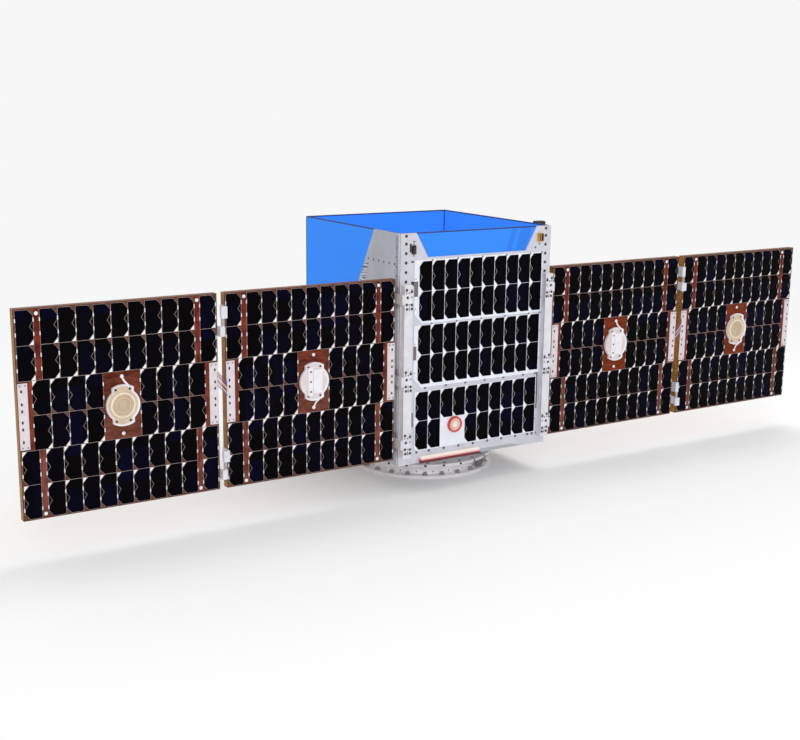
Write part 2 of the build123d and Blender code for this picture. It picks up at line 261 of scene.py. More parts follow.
def pale_floor(reach, shadow_reach):
    mesh = bpy.data.meshes.new("floor")
    corners = [(-reach, -reach, 0), (reach, -reach, 0), (reach, reach, 0), (-reach, reach, 0)]
    mesh.from_pydata(corners, [], [(0, 1, 2, 3)])
    floor = bpy.data.objects.new("floor", mesh)
    bpy.context.scene.collection.objects.link(floor)
    paint = Finish("floor", None, (253, 253, 253), 0.9, Specular_IOR_Level=0.0)
    inside = paint.node("ShaderNodeVectorMath", {0: paint.place()}, "Value", operation="LENGTH")
    reaches = {0: inside, 1: shadow_reach, 2: 2 * shadow_reach}
    fade = paint.node("ShaderNodeMapRange", reaches, interpolation_type="SMOOTHSTEP")
    glow = paint.node("ShaderNodeEmission", {"Color": backdrop})
    blend = paint.node("ShaderNodeMixShader", {0: fade, 1: paint.shader.outputs[0], 2: glow})
    feed(paint.tree, paint.tree.nodes["Material Output"].inputs["Surface"], blend)
    mesh.materials.append(paint.material)


bpy.context.scene.world = backdrop_world()
bpy.context.scene.view_settings.view_transform = "Standard"
soft_lamp("key", (-3.2, -5.5, 2.4), (0, 0, 0.35), 3.0, 96)
soft_lamp("top", (1.5, 0.5, 5.5), (0, 0, 0.4), 3.5, 95)
pale_floor(40, 1.6)
print("world, two lamps and a floor")

# %% [markdown]
# ## Shapes
#
# Most small pieces are one of two shapes: a flat outline with a thickness, or a profile turned about an axis.
# Both are made here facing the front, with the seat at y = 0 and the visible side towards -Y, so a piece only
# has to be moved to its seat.


# %% Two ways to make a shape
def prism(outline, proud, bevel=0.0, seat=0.0):
    """A closed outline of (x, z) points, thickened from its seat towards the viewer."""
    shape = bmesh.new()
    bottom = [shape.verts.new((x, -seat, z)) for x, z in outline]
    face = shape.faces.new(bottom)
    grown = bmesh.ops.extrude_face_region(shape, geom=[face])["geom"]
    moved = [item for item in grown if isinstance(item, bmesh.types.BMVert)]
    bmesh.ops.translate(shape, verts=moved, vec=(0, -proud, 0))
    bmesh.ops.recalc_face_normals(shape, faces=shape.faces)
    if bevel:
        front = -seat - proud * 0.5
        rims = [edge for edge in shape.edges if all(vert.co.y < front for vert in edge.verts)]
        bmesh.ops.bevel(shape, geom=rims, offset=bevel, segments=1, affect="EDGES")
    return shape


def angles_of(steps):
    return [2 * pi * step / steps for step in range(steps)]


def skin(shape, rings):
    """Faces between neighbouring rings of points, where a ring may also be one point many times."""
    for near, far in zip(rings, rings[1:]):
        for step in range(len(near)):
            after = (step + 1) % len(near)
            corners = list(dict.fromkeys([near[step], near[after], far[after], far[step]]))
            if len(corners) > 2:
                shape.faces.new(corners)
    bmesh.ops.recalc_face_normals(shape, faces=shape.faces)
    return shape


def lathe(profile, steps=24):
    """A profile of (radius, proud) points turned about the Y axis. A radius of 0 closes the shape."""
    shape = bmesh.new()
    rings = []
    for radius, proud in profile:
        if radius == 0:
            rings.append([shape.verts.new((0, -proud, 0))] * steps)
        else:
            places = [(radius * cos(a), -proud, radius * sin(a)) for a in angles_of(steps)]
            rings.append([shape.verts.new(place) for place in places])
    return skin(shape, rings)


def rectangle(wide, tall, x=0.0, z=0.0):
    """A rectangle's outline about a centre."""
    return [(x + i * wide / 2, z + k * tall / 2) for i, k in ((-1, -1), (1, -1), (1, 1), (-1, 1))]


def capsule(wide, tall, steps=5):
    """An upright slot's outline with round ends."""
    radius, straight = wide / 2, (tall - wide) / 2
    top = [(radius * cos(pi * i / steps), straight + radius * sin(pi * i / steps)) for i in range(steps + 1)]
    return top + [(-x, -z) for x, z in top]


def stand(shape, place):
    """Moves a shape from its own seat to a place in the frame, in millimetres."""
    bmesh.ops.translate(shape, verts=shape.verts, vec=place)
    return shape


def spin(shape, angle, axis):
    """Turns a shape about an axis through its own seat."""
    bmesh.ops.rotate(shape, verts=shape.verts, cent=(0, 0, 0), matrix=Matrix.Rotation(angle, 3, axis))
    return shape


def as_mesh(shape, name, smooth=0.0):
    """Ends a bmesh. Edges sharper than the angle stay crisp, and an angle of 0 keeps every face flat."""
    mesh = bpy.data.meshes.new(name)
    shape.to_mesh(mesh)
    shape.free()
    mesh.transform(Matrix.Scale(mm, 4))
    if smooth:
        mesh.shade_smooth()
        mesh.set_sharp_from_angle(angle=radians(smooth))
    return mesh


# %% [markdown]
# ## Repeats
#
# A wing panel carries hundreds of cells and tabs that are all alike. Geometry Nodes copy one unit to every
# spot of a point cloud. Each spot has its own turn and size as attributes, so one small tree serves cells,
# screws and lines alike. A second tree places a unit round a circle: each copy turns with its index, so the
# count and the radius are all that changes from one row of the ring to the next. Both trees end by making
# the copies real, because an export keeps only real meshes.


# %% Two trees that repeat a unit
def copying_tree(name, sizes, points):
    """A tree with named inputs that copies a unit to the points which a function adds to the tree."""
    tree = bpy.data.node_groups.new(name, "GeometryNodeTree")
    for key, kind in {**sizes, "Unit": "Object", "Finish": "Material"}.items():
        tree.interface.new_socket(key, in_out="INPUT", socket_type="NodeSocket" + kind)
    tree.interface.new_socket("Piece", in_out="OUTPUT", socket_type="NodeSocketGeometry")
    given = tree.nodes.new("NodeGroupInput").outputs
    unit = add_node(tree, "GeometryNodeObjectInfo", {"Object": given["Unit"]}, "Geometry")
    copies = add_node(tree, "GeometryNodeInstanceOnPoints", {"Instance": unit, **points(tree, given)})
    real = add_node(tree, "GeometryNodeRealizeInstances", {"Geometry": copies})
    painted = add_node(tree, "GeometryNodeSetMaterial", {"Geometry": real, "Material": given["Finish"]})
    feed(tree, tree.nodes.new("NodeGroupOutput").inputs["Piece"], painted)
    return tree


def cloud_points(tree, given):
    """The cloud's own points, turned and sized by their attributes."""
    turn, size = (
        add_node(tree, "GeometryNodeInputNamedAttribute", {"Name": name}, data_type="FLOAT_VECTOR")
        for name in ("turn", "size")
    )
    turn = add_node(tree, "FunctionNodeEulerToRotation", {"Euler": turn})
    return {"Points": given["Spots"], "Rotation": turn, "Scale": size}


def circle_points(tree, given):
    """Points round the Z axis, each turned outwards."""
    step = add_node(tree, "ShaderNodeMath", {0: 2 * pi, 1: given["Count"]}, operation="DIVIDE")
    turn = add_node(tree, "GeometryNodeInputIndex").math("MULTIPLY_ADD", step, given["Phase"])
    east, north = turn.math("COSINE") * given["Radius"], turn.math("SINE") * given["Radius"]
    place = add_node(tree, "ShaderNodeCombineXYZ", {"X": east, "Y": north, "Z": given["Height"]})
    points = add_node(tree, "GeometryNodePoints", {"Count": given["Count"], "Position": place})
    outward = add_node(tree, "ShaderNodeCombineXYZ", {"Z": turn + pi / 2})
    return {"Points": points, "Rotation": add_node(tree, "FunctionNodeEulerToRotation", {"Euler": outward})}


circle_sizes = {"Count": "Int", "Radius": "Float", "Height": "Float", "Phase": "Float"}
REPEAT = copying_tree("Repeat a unit at spots", {"Spots": "Geometry"}, cloud_points)
CIRCLE = copying_tree("Place a unit round a circle", circle_sizes, circle_points)
print("trees of", len(REPEAT.nodes), "and", len(CIRCLE.nodes), "nodes")


# %% Putting a piece into the scene
def add_piece(name, mesh, finish, body, replaced=(), slot=None):
    """A finished mesh as a piece of the object, with its finish as its material. The slot argument is not used."""
    slot = slot or finish.slot
    piece = bpy.data.objects.new(name, mesh)
    bpy.context.scene.collection.objects.link(piece)
    mesh.materials.clear()
    mesh.materials.append(finish.material)
    if body:
        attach(piece, body)
    if replaced:
        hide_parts(*replaced)
    return piece


def work_objects(name, meshes):
    """Objects in the scene for a modifier to work on, which taken_back removes again."""
    items = [bpy.data.objects.new(f"{name}.{index}", mesh) for index, mesh in enumerate(meshes)]
    for item in items:
        bpy.context.scene.collection.objects.link(item)
    return items


def taken_back(items):
    """The plain mesh that the first object's modifier makes."""
    whole = bpy.data.meshes.new_from_object(items[0].evaluated_get(bpy.context.evaluated_depsgraph_get()))
    for item in items:
        bpy.data.objects.remove(item)
    return whole


def grown(name, cloud, unit, tree, values, finish, body):
    """The plain mesh that a tree grows from a unit and its named values, as a piece."""
    items = work_objects(name, (cloud, unit))
    values = {**values, "Unit": items[1], "Finish": finish.material}
    modifier = items[0].modifiers.new("tree", "NODES")
    modifier.node_group = tree
    for socket in tree.interface.items_tree:
        if socket.name in values:
            modifier[socket.identifier] = values[socket.name]
    return add_piece(name, taken_back(items), finish, body)


def spot(x, y, z, turn=(0, 0, 0), size=(1, 1, 1)):
    return (x, y, z), turn, size


def repeat(name, unit, spots, finish, body):
    """The unit mesh at each spot: ((x, y, z), turn, size) in metres, radians and factors."""
    cloud = bpy.data.meshes.new(name)
    cloud.from_pydata([place for place, turn, size in spots], [], [])
    for column, key in ((1, "turn"), (2, "size")):
        values = cloud.attributes.new(key, "FLOAT_VECTOR", "POINT")
        values.data.foreach_set("vector", [number for spot in spots for number in spot[column]])
    return grown(name, cloud, unit, REPEAT, {}, finish, body)


def round_row(name, unit, radius, height, phase, finish, count=24):
    """Units round the ring's axis, with sizes in millimetres and the phase in degrees."""
    values = {"Count": count, "Radius": radius * mm, "Height": height * mm, "Phase": radians(phase)}
    grown(name, bpy.data.meshes.new(name), unit, CIRCLE, values, finish, "bus")


# %% [markdown]
# ## Finishes of the bus
#
# The walls are machined aluminium, satin and a little uneven. The ring is turned on a lathe, so its marks run
# round it. The bin is painted, and its paint has a fine orange peel. Three functions serve the finishes that
# differ only in their values, and the rest have a function each.


# %% Metals and paint
FINE_GRAIN = ((1600, 1), 0.0001, 0.2)


def cloudy(name, slot, colour, low, high, cloud, roughness=0.5, sheen=None, grain=None, metallic=0.0, **constants):
    """A finish that drifts between two shades with a noise. Sheen is (least roughness, range of roughness),
    and grain is (noise, depth, strength)."""
    paint = Finish(name, slot, colour, roughness, metallic, **constants)
    drift = paint.noise(*cloud)
    paint.set("Base Color", paint.mix(drift, low, high))
    if sheen:
        paint.set("Roughness", sheen[0] + drift * sheen[1])
    if grain:
        paint.bump(paint.noise(*grain[0]), *grain[1:])
    return paint


def plain_paint(name, slot, colour, low, high, roughness, metallic=0.0, scale=90):
    """A satin paint with a fine grain."""
    drift, sheen = (scale, 4, (1, 1, 1), 0.6), (roughness - 0.08, 0.16)
    return cloudy(name, slot, colour, low, high, drift, roughness, sheen, FINE_GRAIN, metallic)


def brushed(name, slot, colour, low, high, cloud, metallic, least):
    """Machined metal: a cloudy tone, with upright grain in its roughness and in its relief."""
    paint = Finish(name, slot, colour, 0.4, metallic)
    grain = paint.noise(900, 2, (1, 1, 0.06))
    paint.set("Base Color", paint.mix(paint.noise(*cloud), low, high))
    paint.set("Roughness", least + grain * 0.2)
    paint.bump(grain, 0.0003, 0.15)
    return paint


def turned_metal():
    paint = Finish("turned metal", "ring_metal", (222, 220, 224), 0.3, 0.15)
    turning = paint.noise(1500, 1, (0.02, 0.02, 1))
    streak = paint.noise(26, 3, (1, 1, 0.12), rough=0.6)
    paint.set("Base Color", paint.mix(streak.power(0.8), (214, 210, 214), (255, 253, 255)))
    paint.set("Roughness", 0.2 + turning * 0.3)
    paint.bump(turning, 0.0004, 0.2)
    return paint


def deck_metal():
    paint = Finish("deck skin", "deck_skin", (178, 180, 186), 0.45, 0.4)
    cells = paint.node("ShaderNodeTexVoronoi", {"Vector": paint.place(), "Scale": 160.0})
    paint.set("Base Color", paint.mix(cells, (168, 170, 176), (190, 192, 198)))
    paint.bump(cells, 0.0004, 0.2)
    return paint


def bin_paint():
    """Flat blue with a painted glow that keeps its shading flat, and two slanted darker bands of painted reflection on
    the front panel.
    """
    # The Emission is a painted glow: the paint lights itself so that its lit and shaded faces look alike.
    paint = Finish("blue bin paint", "bin_blue", (40, 99, 180), 0.7, Specular_IOR_Level=0.05, Emission_Strength=0.55)
    cloud = paint.noise(5, 3)
    # The slant, narrow, broad and streak masks draw the two bands of painted reflection, darker in base colour and in
    # glow.
    slant = paint.axis("X") - paint.axis("Z") * 0.32
    narrow, broad = ((slant + shift).absolute() < half for shift, half in ((0.101, 0.009), (0.061, 0.018)))
    streak = (narrow + broad) * (paint.axis("Y") < -0.25) * 0.26
    blue = paint.mix(cloud, (38, 97, 176), (42, 102, 184))
    paint.set("Base Color", paint.mix(streak, blue, (20, 60, 120)))
    paint.set("Emission Color", paint.mix(streak, (61, 143, 255), (30, 90, 190)))
    paint.set("Roughness", 0.6 + cloud * 0.15)
    paint.bump(paint.noise(700, 1), 0.0002, 0.15)
    return paint


# %% [markdown]
# ## Finishes of the wings
#
# A wing panel is a honeycomb board wrapped in amber film. Its ends carry gold tape with a row of stitched
# bars, its narrow top and bottom are a dull red brown, and on its face the film shows between the cells. The
# cells are nearly black glass with a fine comb of silver fingers, and each has a tint of its own.


# %% Films, cells and tabs
panel_low, panel_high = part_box("left_outer_panel")
panel_middle = (panel_low.z + panel_high.z) / 2


def panel_wrap():
    """Amber film on the back, a brown edge above and below, and gold tape with stitched bars on the end faces."""
    bars_a_metre = 167
    paint = Finish("panel wrap", "panel_film", (120, 70, 30), 0.4, 0.1, Specular_IOR_Level=0.1)
    normal = paint.node("ShaderNodeTexCoord", output="Normal")
    end_face = paint.axis("X", normal).absolute() > 0.5
    back = paint.axis("Y", normal) > 0.5
    bars = (paint.axis("Z") * bars_a_metre).math("FRACT") > 0.42
    cloud = paint.noise(45, 4, rough=0.65)
    gold = paint.mix(cloud.power(2), paint.mix(bars, (168, 108, 22), (70, 38, 6)), (214, 160, 66))
    edge = paint.mix(cloud, (92, 46, 24), (132, 90, 60))
    amber = paint.mix(cloud, (146, 92, 34), (190, 132, 58))
    paint.set("Base Color", paint.mix(back, paint.mix(end_face, edge, gold), amber))
    paint.set("Roughness", 0.25 + cloud * 0.3)
    paint.bump(paint.noise(90, 3, rough=0.7), 0.0012, 0.35)
    return paint


def blanket_film():
    paint = Finish("blanket film", "panel_film", (112, 82, 76), 0.45, Specular_IOR_Level=0.15)
    cloud = paint.noise(35, 3).power(1.3)
    paint.set("Base Color", paint.mix(cloud, (76, 32, 20), (120, 90, 80)))
    paint.set("Roughness", 0.35 + cloud * 0.2)
    return paint


def red_film():
    paint = Finish("red film", "panel_film", (116, 30, 10), 0.4, Specular_IOR_Level=0.1)
    cloud = ((paint.noise(60, 4, (1, 1, 0.5)) - 0.3) * 2.5).clamp()
    # The film is lighter towards the panel's foot and darker towards its top: painted reflection.
    rise = ((paint.axis("Z") - panel_low.z) * (1 / (panel_high.z - panel_low.z))).clamp()
    low = paint.mix(cloud, (84, 34, 20), (142, 84, 70))
    high = paint.mix(cloud, (64, 10, 2), (138, 44, 20))
    paint.set("Base Color", paint.mix(rise, low, high))
    paint.set("Roughness", 0.3 + cloud * 0.3)
    paint.bump(cloud, 0.0005, 0.3)
    return paint


def copper_film(centre, tall):
    paint = Finish("copper film", "panel_film", (112, 44, 30), 0.35, Specular_IOR_Level=0.06)
    # The sheet is lighter towards its foot and darker towards its top, and on the right wings it takes an even, warmer
    # tone: painted reflection, since the sheets are alike.
    rise = ((paint.axis("Z") - (centre - tall / 2)) * (1 / tall)).clamp()
    crinkle = ((paint.noise(70, 5, (0.5, 1, 1.6), rough=0.7) - 0.3) * 2.5).clamp()
    low = paint.mix(crinkle, (84, 38, 26), (130, 78, 66))
    high = paint.mix(crinkle, (52, 8, 2), (128, 62, 42))
    warm = paint.mix(crinkle, (88, 26, 8), (136, 60, 32))
    paint.set("Base Color", paint.mix(paint.axis("X") > 0, paint.mix(rise, low, high), warm))
    paint.set("Roughness", 0.25 + crinkle * 0.3)
    paint.bump(crinkle, 0.0015, 0.4)
    return paint


def cell_glass():
    """Nearly black glass with fine fingers, and a tint that changes from one cell's square to the next."""
    square_wide, square_tall, fingers_a_metre = 0.04115, 0.081, 700
    paint = Finish("cell glass", "cell_dark", (6, 4, 20), 0.42, Specular_IOR_Level=0.03)
    across = (paint.axis("X") * (1 / square_wide)).math("FLOOR")
    down = (paint.axis("Z") * (1 / square_tall)).math("FLOOR")
    place = paint.node("ShaderNodeCombineXYZ", {0: across, 1: down})
    own = paint.node("ShaderNodeTexWhiteNoise", {"Vector": place}, noise_dimensions="2D")
    tint = paint.mix(own.power(3), (2, 1, 2), (4, 3, 26))
    fingers = (paint.axis("Z") * fingers_a_metre).math("FRACT") > 0.9
    paint.set("Base Color", paint.mix(fingers * 0.25, tint, (20, 18, 28)))
    paint.set("Roughness", 0.36 + paint.noise(30, 3) * 0.15)
    return paint


# %% [markdown]
# ## Finishes of the fittings
#
# The small fittings are the accents: beige hold-down cups, a red-rimmed sun sensor, a gold and black
# imager, black connectors and a pink padded rail at the foot.


# %% Paints and plastics of the small parts
def rail_paint(foot, top):
    """Pink down the front, with a painted highlight that makes it white along the top and painted shade that makes it
    dark red at the lower edge.
    """
    paint = Finish("foot rail paint", "rail_pink", (225, 150, 150), 0.45)
    rise = (paint.axis("Z") - foot) * (1 / (top - foot))
    cloud = paint.noise(120, 3)
    pink = paint.mix(cloud, (228, 140, 140), (246, 190, 186))
    # The dark red at the lower edge is painted shade, and the white along the top is a painted highlight.
    low = paint.mix(((rise - 0.46) * 12).clamp(), (104, 10, 20), pink)
    paint.set("Base Color", paint.mix(((rise - 0.66) * 10).clamp(), low, (250, 240, 230)))
    return paint


rail_low, rail_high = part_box("foot_rail")
front_clouds, side_clouds = (14, 4, (1, 1, 1), 0.6), (16, 4, (1, 1, 0.4), 0.65)
strip_clouds = (80, 4, (1, 1, 1), 0.7)
every_finish = [
    brushed("wall metal", "aluminium_wall", (208, 208, 217), (190, 190, 202), (226, 226, 233), front_clouds, 0.35,
            0.32),
    turned_metal(),
    cloudy("pale anodised metal", "hinge_metal", (228, 228, 233), (206, 204, 212), (242, 240, 247), (40, 4), 0.4,
           (0.3, 0.25), ((2500, 1), 0.0001, 0.2), 0.25),
    deck_metal(),
    bin_paint(),
    cloudy("grey box paint", "box_grey", (70, 72, 76), (62, 64, 68), (82, 84, 88), (800, 1)),
    cloudy("white board", "board_white", (236, 239, 250), (222, 226, 240), (246, 248, 254), (30, 4), 0.4,
           (0.35, 0.15), ((500, 2), 0.0001, 0.2), Specular_IOR_Level=0.3),
    panel_wrap(),
    cell_glass(),
    cloudy("white strip", "strip_white", (208, 198, 202), (202, 190, 196), (240, 232, 238), strip_clouds, 0.5,
           (0.45, 0.15), ((900, 1), 0.0001, 0.2), Specular_IOR_Level=0.3),
    plain_paint("cup cream", "cup_cream", (208, 196, 164), (186, 172, 136), (226, 216, 190), 0.45),
    plain_paint("sensor red", "sensor_red", (216, 90, 70), (200, 74, 56), (232, 112, 92), 0.35),
    plain_paint("connector black", "connector_black", (20, 18, 20), (12, 10, 12), (36, 34, 36), 0.5),
    plain_paint("imager gold", "imager_gold", (190, 140, 50), (160, 108, 26), (222, 176, 84), 0.3, 0.7),
    rail_paint(rail_low.z, rail_high.z),
]
FINISHES = {finish.slot: finish for finish in every_finish}
FILM, RED, COPPER = blanket_film(), red_film(), copper_film(panel_middle, 0.162)
LINE = cloudy("pale cell edge", "strip_white", (216, 204, 198), (160, 142, 136), (218, 206, 200), (120, 2))
TAB = cloudy("silver tab", "strip_white", (240, 238, 240), (224, 218, 220), (252, 250, 250), (260, 2), 0.35,
             (0.25, 0.3), ((260, 2), 0.0003, 0.2), 0.15)
DIM = plain_paint("bent wire", "strip_white", (120, 108, 104), (92, 80, 78), (150, 138, 134), 0.5, 0.0, 120)
# The side and back walls take a darker, bluer copy of the front wall's aluminium: painted shade.
SHADED_SIDE_METAL = brushed(
    "side wall metal in painted shade", "aluminium_wall", (168, 172, 184), (146, 150, 164), (190, 193, 202), side_clouds, 0.3, 0.3
)
for part in frame["record"]["subparts"]:
    nodes[part["node"]].material_slots[0].material = FINISHES[part["material_slot"]].material
for name in ("left_plate", "right_plate", "back_plate"):
    nodes[name].material_slots[0].material = SHADED_SIDE_METAL.material
print("finishes:", len(FINISHES), "slots")

# %% [markdown]
# ## Solar cells
#
# Each wing panel has six rows. The two rows in the middle are shorter, because a harness strip stands at each
# end and the hold-down cup in between. Every cell has two cropped corners on one long side, and a row's cells
# all face the same way. A pale bed, half a gap wider than the cell, shows as the thin line round each one.

# %% The layout of a wing panel
cell_wide, cell_tall = 40.15, 80.15
gap_across, gap_down = 1.0, 0.85
crop_wide, crop_tall = 12.0, 14.5
strip_wide = 15.0
short_row_margin = 35.0
top_margin = 3.5
panel_wide = (panel_high.x - panel_low.x) / mm
cropped_on_left = (False, False, True, False, True, True)
short_rows = (2, 3)


def row_centre(row):
    """How far down from the panel's top edge the middle of a row lies."""
    return top_margin + cell_tall / 2 + row * (cell_tall + gap_down)


def cell_centres(row):
    """Distances from the panel's left edge to the middle of each cell in a row."""
    pitch = cell_wide + gap_across
    if row in short_rows:
        block = [short_row_margin + cell_wide / 2 + step * pitch for step in range(4)]
        return block + [panel_wide - across for across in reversed(block)]
    margin = (panel_wide - 11 * cell_wide - 8 * gap_across - 2 * strip_wide) / 2
    first = margin + cell_wide / 2
    inner = first + cell_wide + strip_wide
    return [first] + [inner + step * pitch for step in range(9)] + [panel_wide - first]


print("cells on a wing panel:", sum(len(cell_centres(row)) for row in range(6)))


# %% The shape of a cell
def cropped_corner(reach, steps=3, bulge=0.4):
    """Points of one cropped corner, for the upper left of a cell, bowed outwards a little."""
    low = Vector((-cell_wide / 2 - reach, cell_tall / 2 - crop_tall))
    high = Vector((-cell_wide / 2 + crop_wide, cell_tall / 2 + reach))
    out = Vector((low.y - high.y, high.x - low.x)).normalized()
    shares = [step / steps for step in range(steps + 1)]
    return [low.lerp(high, t) + out * bulge * 4 * t * (1 - t) for t in shares]


def cell_outline(reach=0.0):
    """A cell cropped on its left, grown by a reach on every side."""
    corner = [(point.x, point.y) for point in cropped_corner(reach)]
    right = cell_wide / 2 + reach
    return corner + [(right, cell_tall / 2 + reach), (right, -cell_tall / 2 - reach)] + [
        (x, -z) for x, z in reversed(corner)
    ]


film_top = 0.6
bed_top = 0.75
cell_top = 1.05
HALF_TURN = (0, pi, 0)
CELL = as_mesh(prism(cell_outline(), cell_top - bed_top, 0.12, bed_top), "cell")
BED = as_mesh(prism(cell_outline(gap_across / 2), bed_top - film_top, 0, film_top), "bed")
diode = [(-cell_wide / 2 + 0.4, cell_tall / 2 - 12.5), (-cell_wide / 2 + 10.6, cell_tall / 2 - 0.3)]
diode.append((-cell_wide / 2 + 0.4, cell_tall / 2 - 0.3))
DIODE = as_mesh(prism(diode, cell_top - film_top, 0.1, film_top), "diode")
print("cell faces:", len(CELL.polygons))


# %% Cells, beds and diodes on the four wing panels
def panel_spots(wing, places):
    """Spots on a panel's face from (across, down, turned) in millimetres from its upper left corner."""
    low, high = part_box(f"{wing}_panel")
    return [
        spot(low.x + across * mm, low.y, high.z - down * mm, HALF_TURN if turned else (0, 0, 0))
        for across, down, turned in places
    ]


cell_places = [
    (across, row_centre(row), not cropped_on_left[row]) for row in range(6) for across in cell_centres(row)
]
for wing in WINGS:
    body = f"{wing}_wing"
    spots = panel_spots(wing, cell_places)
    repeat(f"{wing}_solar_cells", CELL, spots, FINISHES["cell_dark"], body)
    repeat(f"{wing}_cell_edges", BED, spots, LINE, body)
    repeat(f"{wing}_diodes", DIODE, spots, TAB, body)
print("cells:", 4 * len(cell_places))

# %% [markdown]
# ## Film, tabs and lines between the cells
#
# Where no cell lies, the panel shows its films: red strips that carry the current, and a crinkled copper
# sheet under the hold-down cup. Silver tabs bridge the gaps between cells, and each cell has a thin bent wire
# near its cropped side. Round pads end the strips.


# %% Strips of film and the copper sheet
def gather(shapes, name, smooth=0.0):
    """Several shapes as one mesh."""
    whole = bmesh.new()
    for shape in shapes:
        part = bpy.data.meshes.new("part")
        shape.to_mesh(part)
        shape.free()
        whole.from_mesh(part)
        bpy.data.meshes.remove(part)
    return as_mesh(whole, name, smooth)


def panel_sheet(wing, left, right, top, foot):
    """A thin sheet on a panel's face, between two distances across and two distances down."""
    low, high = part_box(f"{wing}_panel")
    outline = rectangle(right - left, foot - top, (left + right) / 2, -(top + foot) / 2)
    return stand(prism(outline, bed_top - film_top, 0, film_top), (low.x / mm, low.y / mm, high.z / mm))


row_tops = [top_margin + row * (cell_tall + gap_down) for row in range(7)]
wide_centres, short_centres = cell_centres(0), cell_centres(2)
strip_spans = []
for near, far in ((wide_centres[0], wide_centres[1]), (wide_centres[9], wide_centres[10])):
    strip_spans.append((near + cell_wide / 2, far - cell_wide / 2))
copper_span = (short_centres[3] + cell_wide / 2 + gap_across / 2, short_centres[4] - cell_wide / 2 - gap_across / 2)
harness_near, harness_far = 23.5, short_row_margin
for wing in WINGS:
    body = f"{wing}_wing"
    red = []
    for top, foot in ((row_tops[0], row_tops[2]), (row_tops[4], row_tops[6])):
        red += [panel_sheet(wing, left + 0.8, right - 0.8, top, foot - gap_down) for left, right in strip_spans]
    for left, right in ((harness_near, harness_far), (panel_wide - harness_far, panel_wide - harness_near)):
        red.append(panel_sheet(wing, left, right, row_tops[2], row_tops[4] - gap_down))
    add_piece(f"{wing}_red_film", gather(red, "red film"), RED, body)
    sheet = panel_sheet(wing, *copper_span, row_tops[2], row_tops[4] - gap_down)
    add_piece(f"{wing}_copper_film", as_mesh(sheet, "copper film"), COPPER, body)
    low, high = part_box(f"{wing}_cells")
    film = prism(rectangle((high.x - low.x) / mm, (high.z - low.z) / mm), film_top)
    stand(film, ((low.x + high.x) / 2 / mm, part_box(f"{wing}_panel")[0].y / mm, (low.z + high.z) / 2 / mm))
    name = f"{wing}_blanket_film"
    add_piece(name, as_mesh(film, "film"), FILM, body, [f"{wing}_cells"])
print("strips at", [round(span[0], 1) for span in strip_spans], "copper from", round(copper_span[0], 1))

# %% Tabs, bent wires and pads
tab_wide, tab_tall, tab_proud = 2.3, 9.0, 0.25
tab_rises = (14.6, -17.4)
wire = 0.7
bend = [(-cell_wide / 2, 11.0), (-cell_wide / 2 + 8.5, -2.0), (-cell_wide / 2, -15.0)]
bent = [(x + wire, z) for x, z in bend] + [(x - wire * (x > -cell_wide / 2), z) for x, z in reversed(bend)]
TAB_UNIT = as_mesh(prism(rectangle(tab_wide, tab_tall), tab_proud, 0.1, cell_top), "tab")
WIRE_UNIT = as_mesh(prism(bent, 0.12, 0, cell_top), "bent wire")
PAD_UNIT = as_mesh(lathe([(4.4, bed_top), (4.4, 1.2), (3.4, 1.7), (1.6, 1.75), (1.0, 1.3), (0, 1.3)], 20), "pad", 40)


def tab_places():
    """Two tabs for each cell at both of its long sides, and one where two cells meet."""
    places = set()
    for row in range(6):
        down = row_centre(row)
        flip = 1 if cropped_on_left[row] else -1
        for across in cell_centres(row):
            for edge in (-1, 1):
                for rise in tab_rises:
                    x = round(across + edge * (cell_wide + gap_across) / 2, 2)
                    places.add((x, round(down - flip * rise, 2), False))
    return sorted(places)


pad_places = [((left + right) / 2, row_tops[0] + 9, False) for left, right in strip_spans]
pad_places += [((left + right) / 2, row_tops[6] - 9, False) for left, right in strip_spans]
pad_places += [(panel_wide / 2, row_tops[2] + 11.5, False), (panel_wide / 2, row_tops[4] - 12.5, False)]
for wing in WINGS:
    body = f"{wing}_wing"
    tabs = panel_spots(wing, tab_places())
    repeat(f"{wing}_tabs", TAB_UNIT, tabs, TAB, body)
    wires = panel_spots(wing, cell_places)
    repeat(f"{wing}_bent_wires", WIRE_UNIT, wires, DIM, body)
    pads = panel_spots(wing, pad_places)
    repeat(f"{wing}_pads", PAD_UNIT, pads, TAB, body)
print("tabs on a panel:", len(tab_places()))

# %% [markdown]
# ## Harness strips
#
# The white strips at the panels' ends cover the harness. They are solids in the frame, and only their black
# slots and end screws are added, as capsules and heads that lie on the strip.

# %% Slots and end screws of the harness strips
BLACK = FINISHES["connector_black"]
STEEL = plain_paint("steel screw", "hinge_metal", (150, 150, 154), (104, 104, 108), (196, 196, 200), 0.3, 0.7, 400)
# DARK is painted shade where it fills holes, recesses, grooves and the ring's rim slots and where it lies under the
# ring's bolt heads; on the harness strips' slots, comb pads, corner joints and antenna puck it is their own black.
DARK = plain_paint("dark recess", "connector_black", (24, 20, 24), (14, 12, 16), (44, 38, 42), 0.6, 0.0, 300)
slot_rises, slot_shares = (-59, -29, -13, 13, 29, 59), (0.36, 0.64)
strip_cover, screw_insets, screw_rise = 22 * mm, (5, 17), 72
SLOT_UNIT = as_mesh(prism(capsule(4.4, 7.8), 0.12, 0), "slot")
SCREW_UNIT = as_mesh(lathe([(2.3, 0), (2.3, 0.9), (1.8, 1.4), (1.0, 1.4), (1.0, 0.7), (0, 0.7)], 12), "screw", 40)


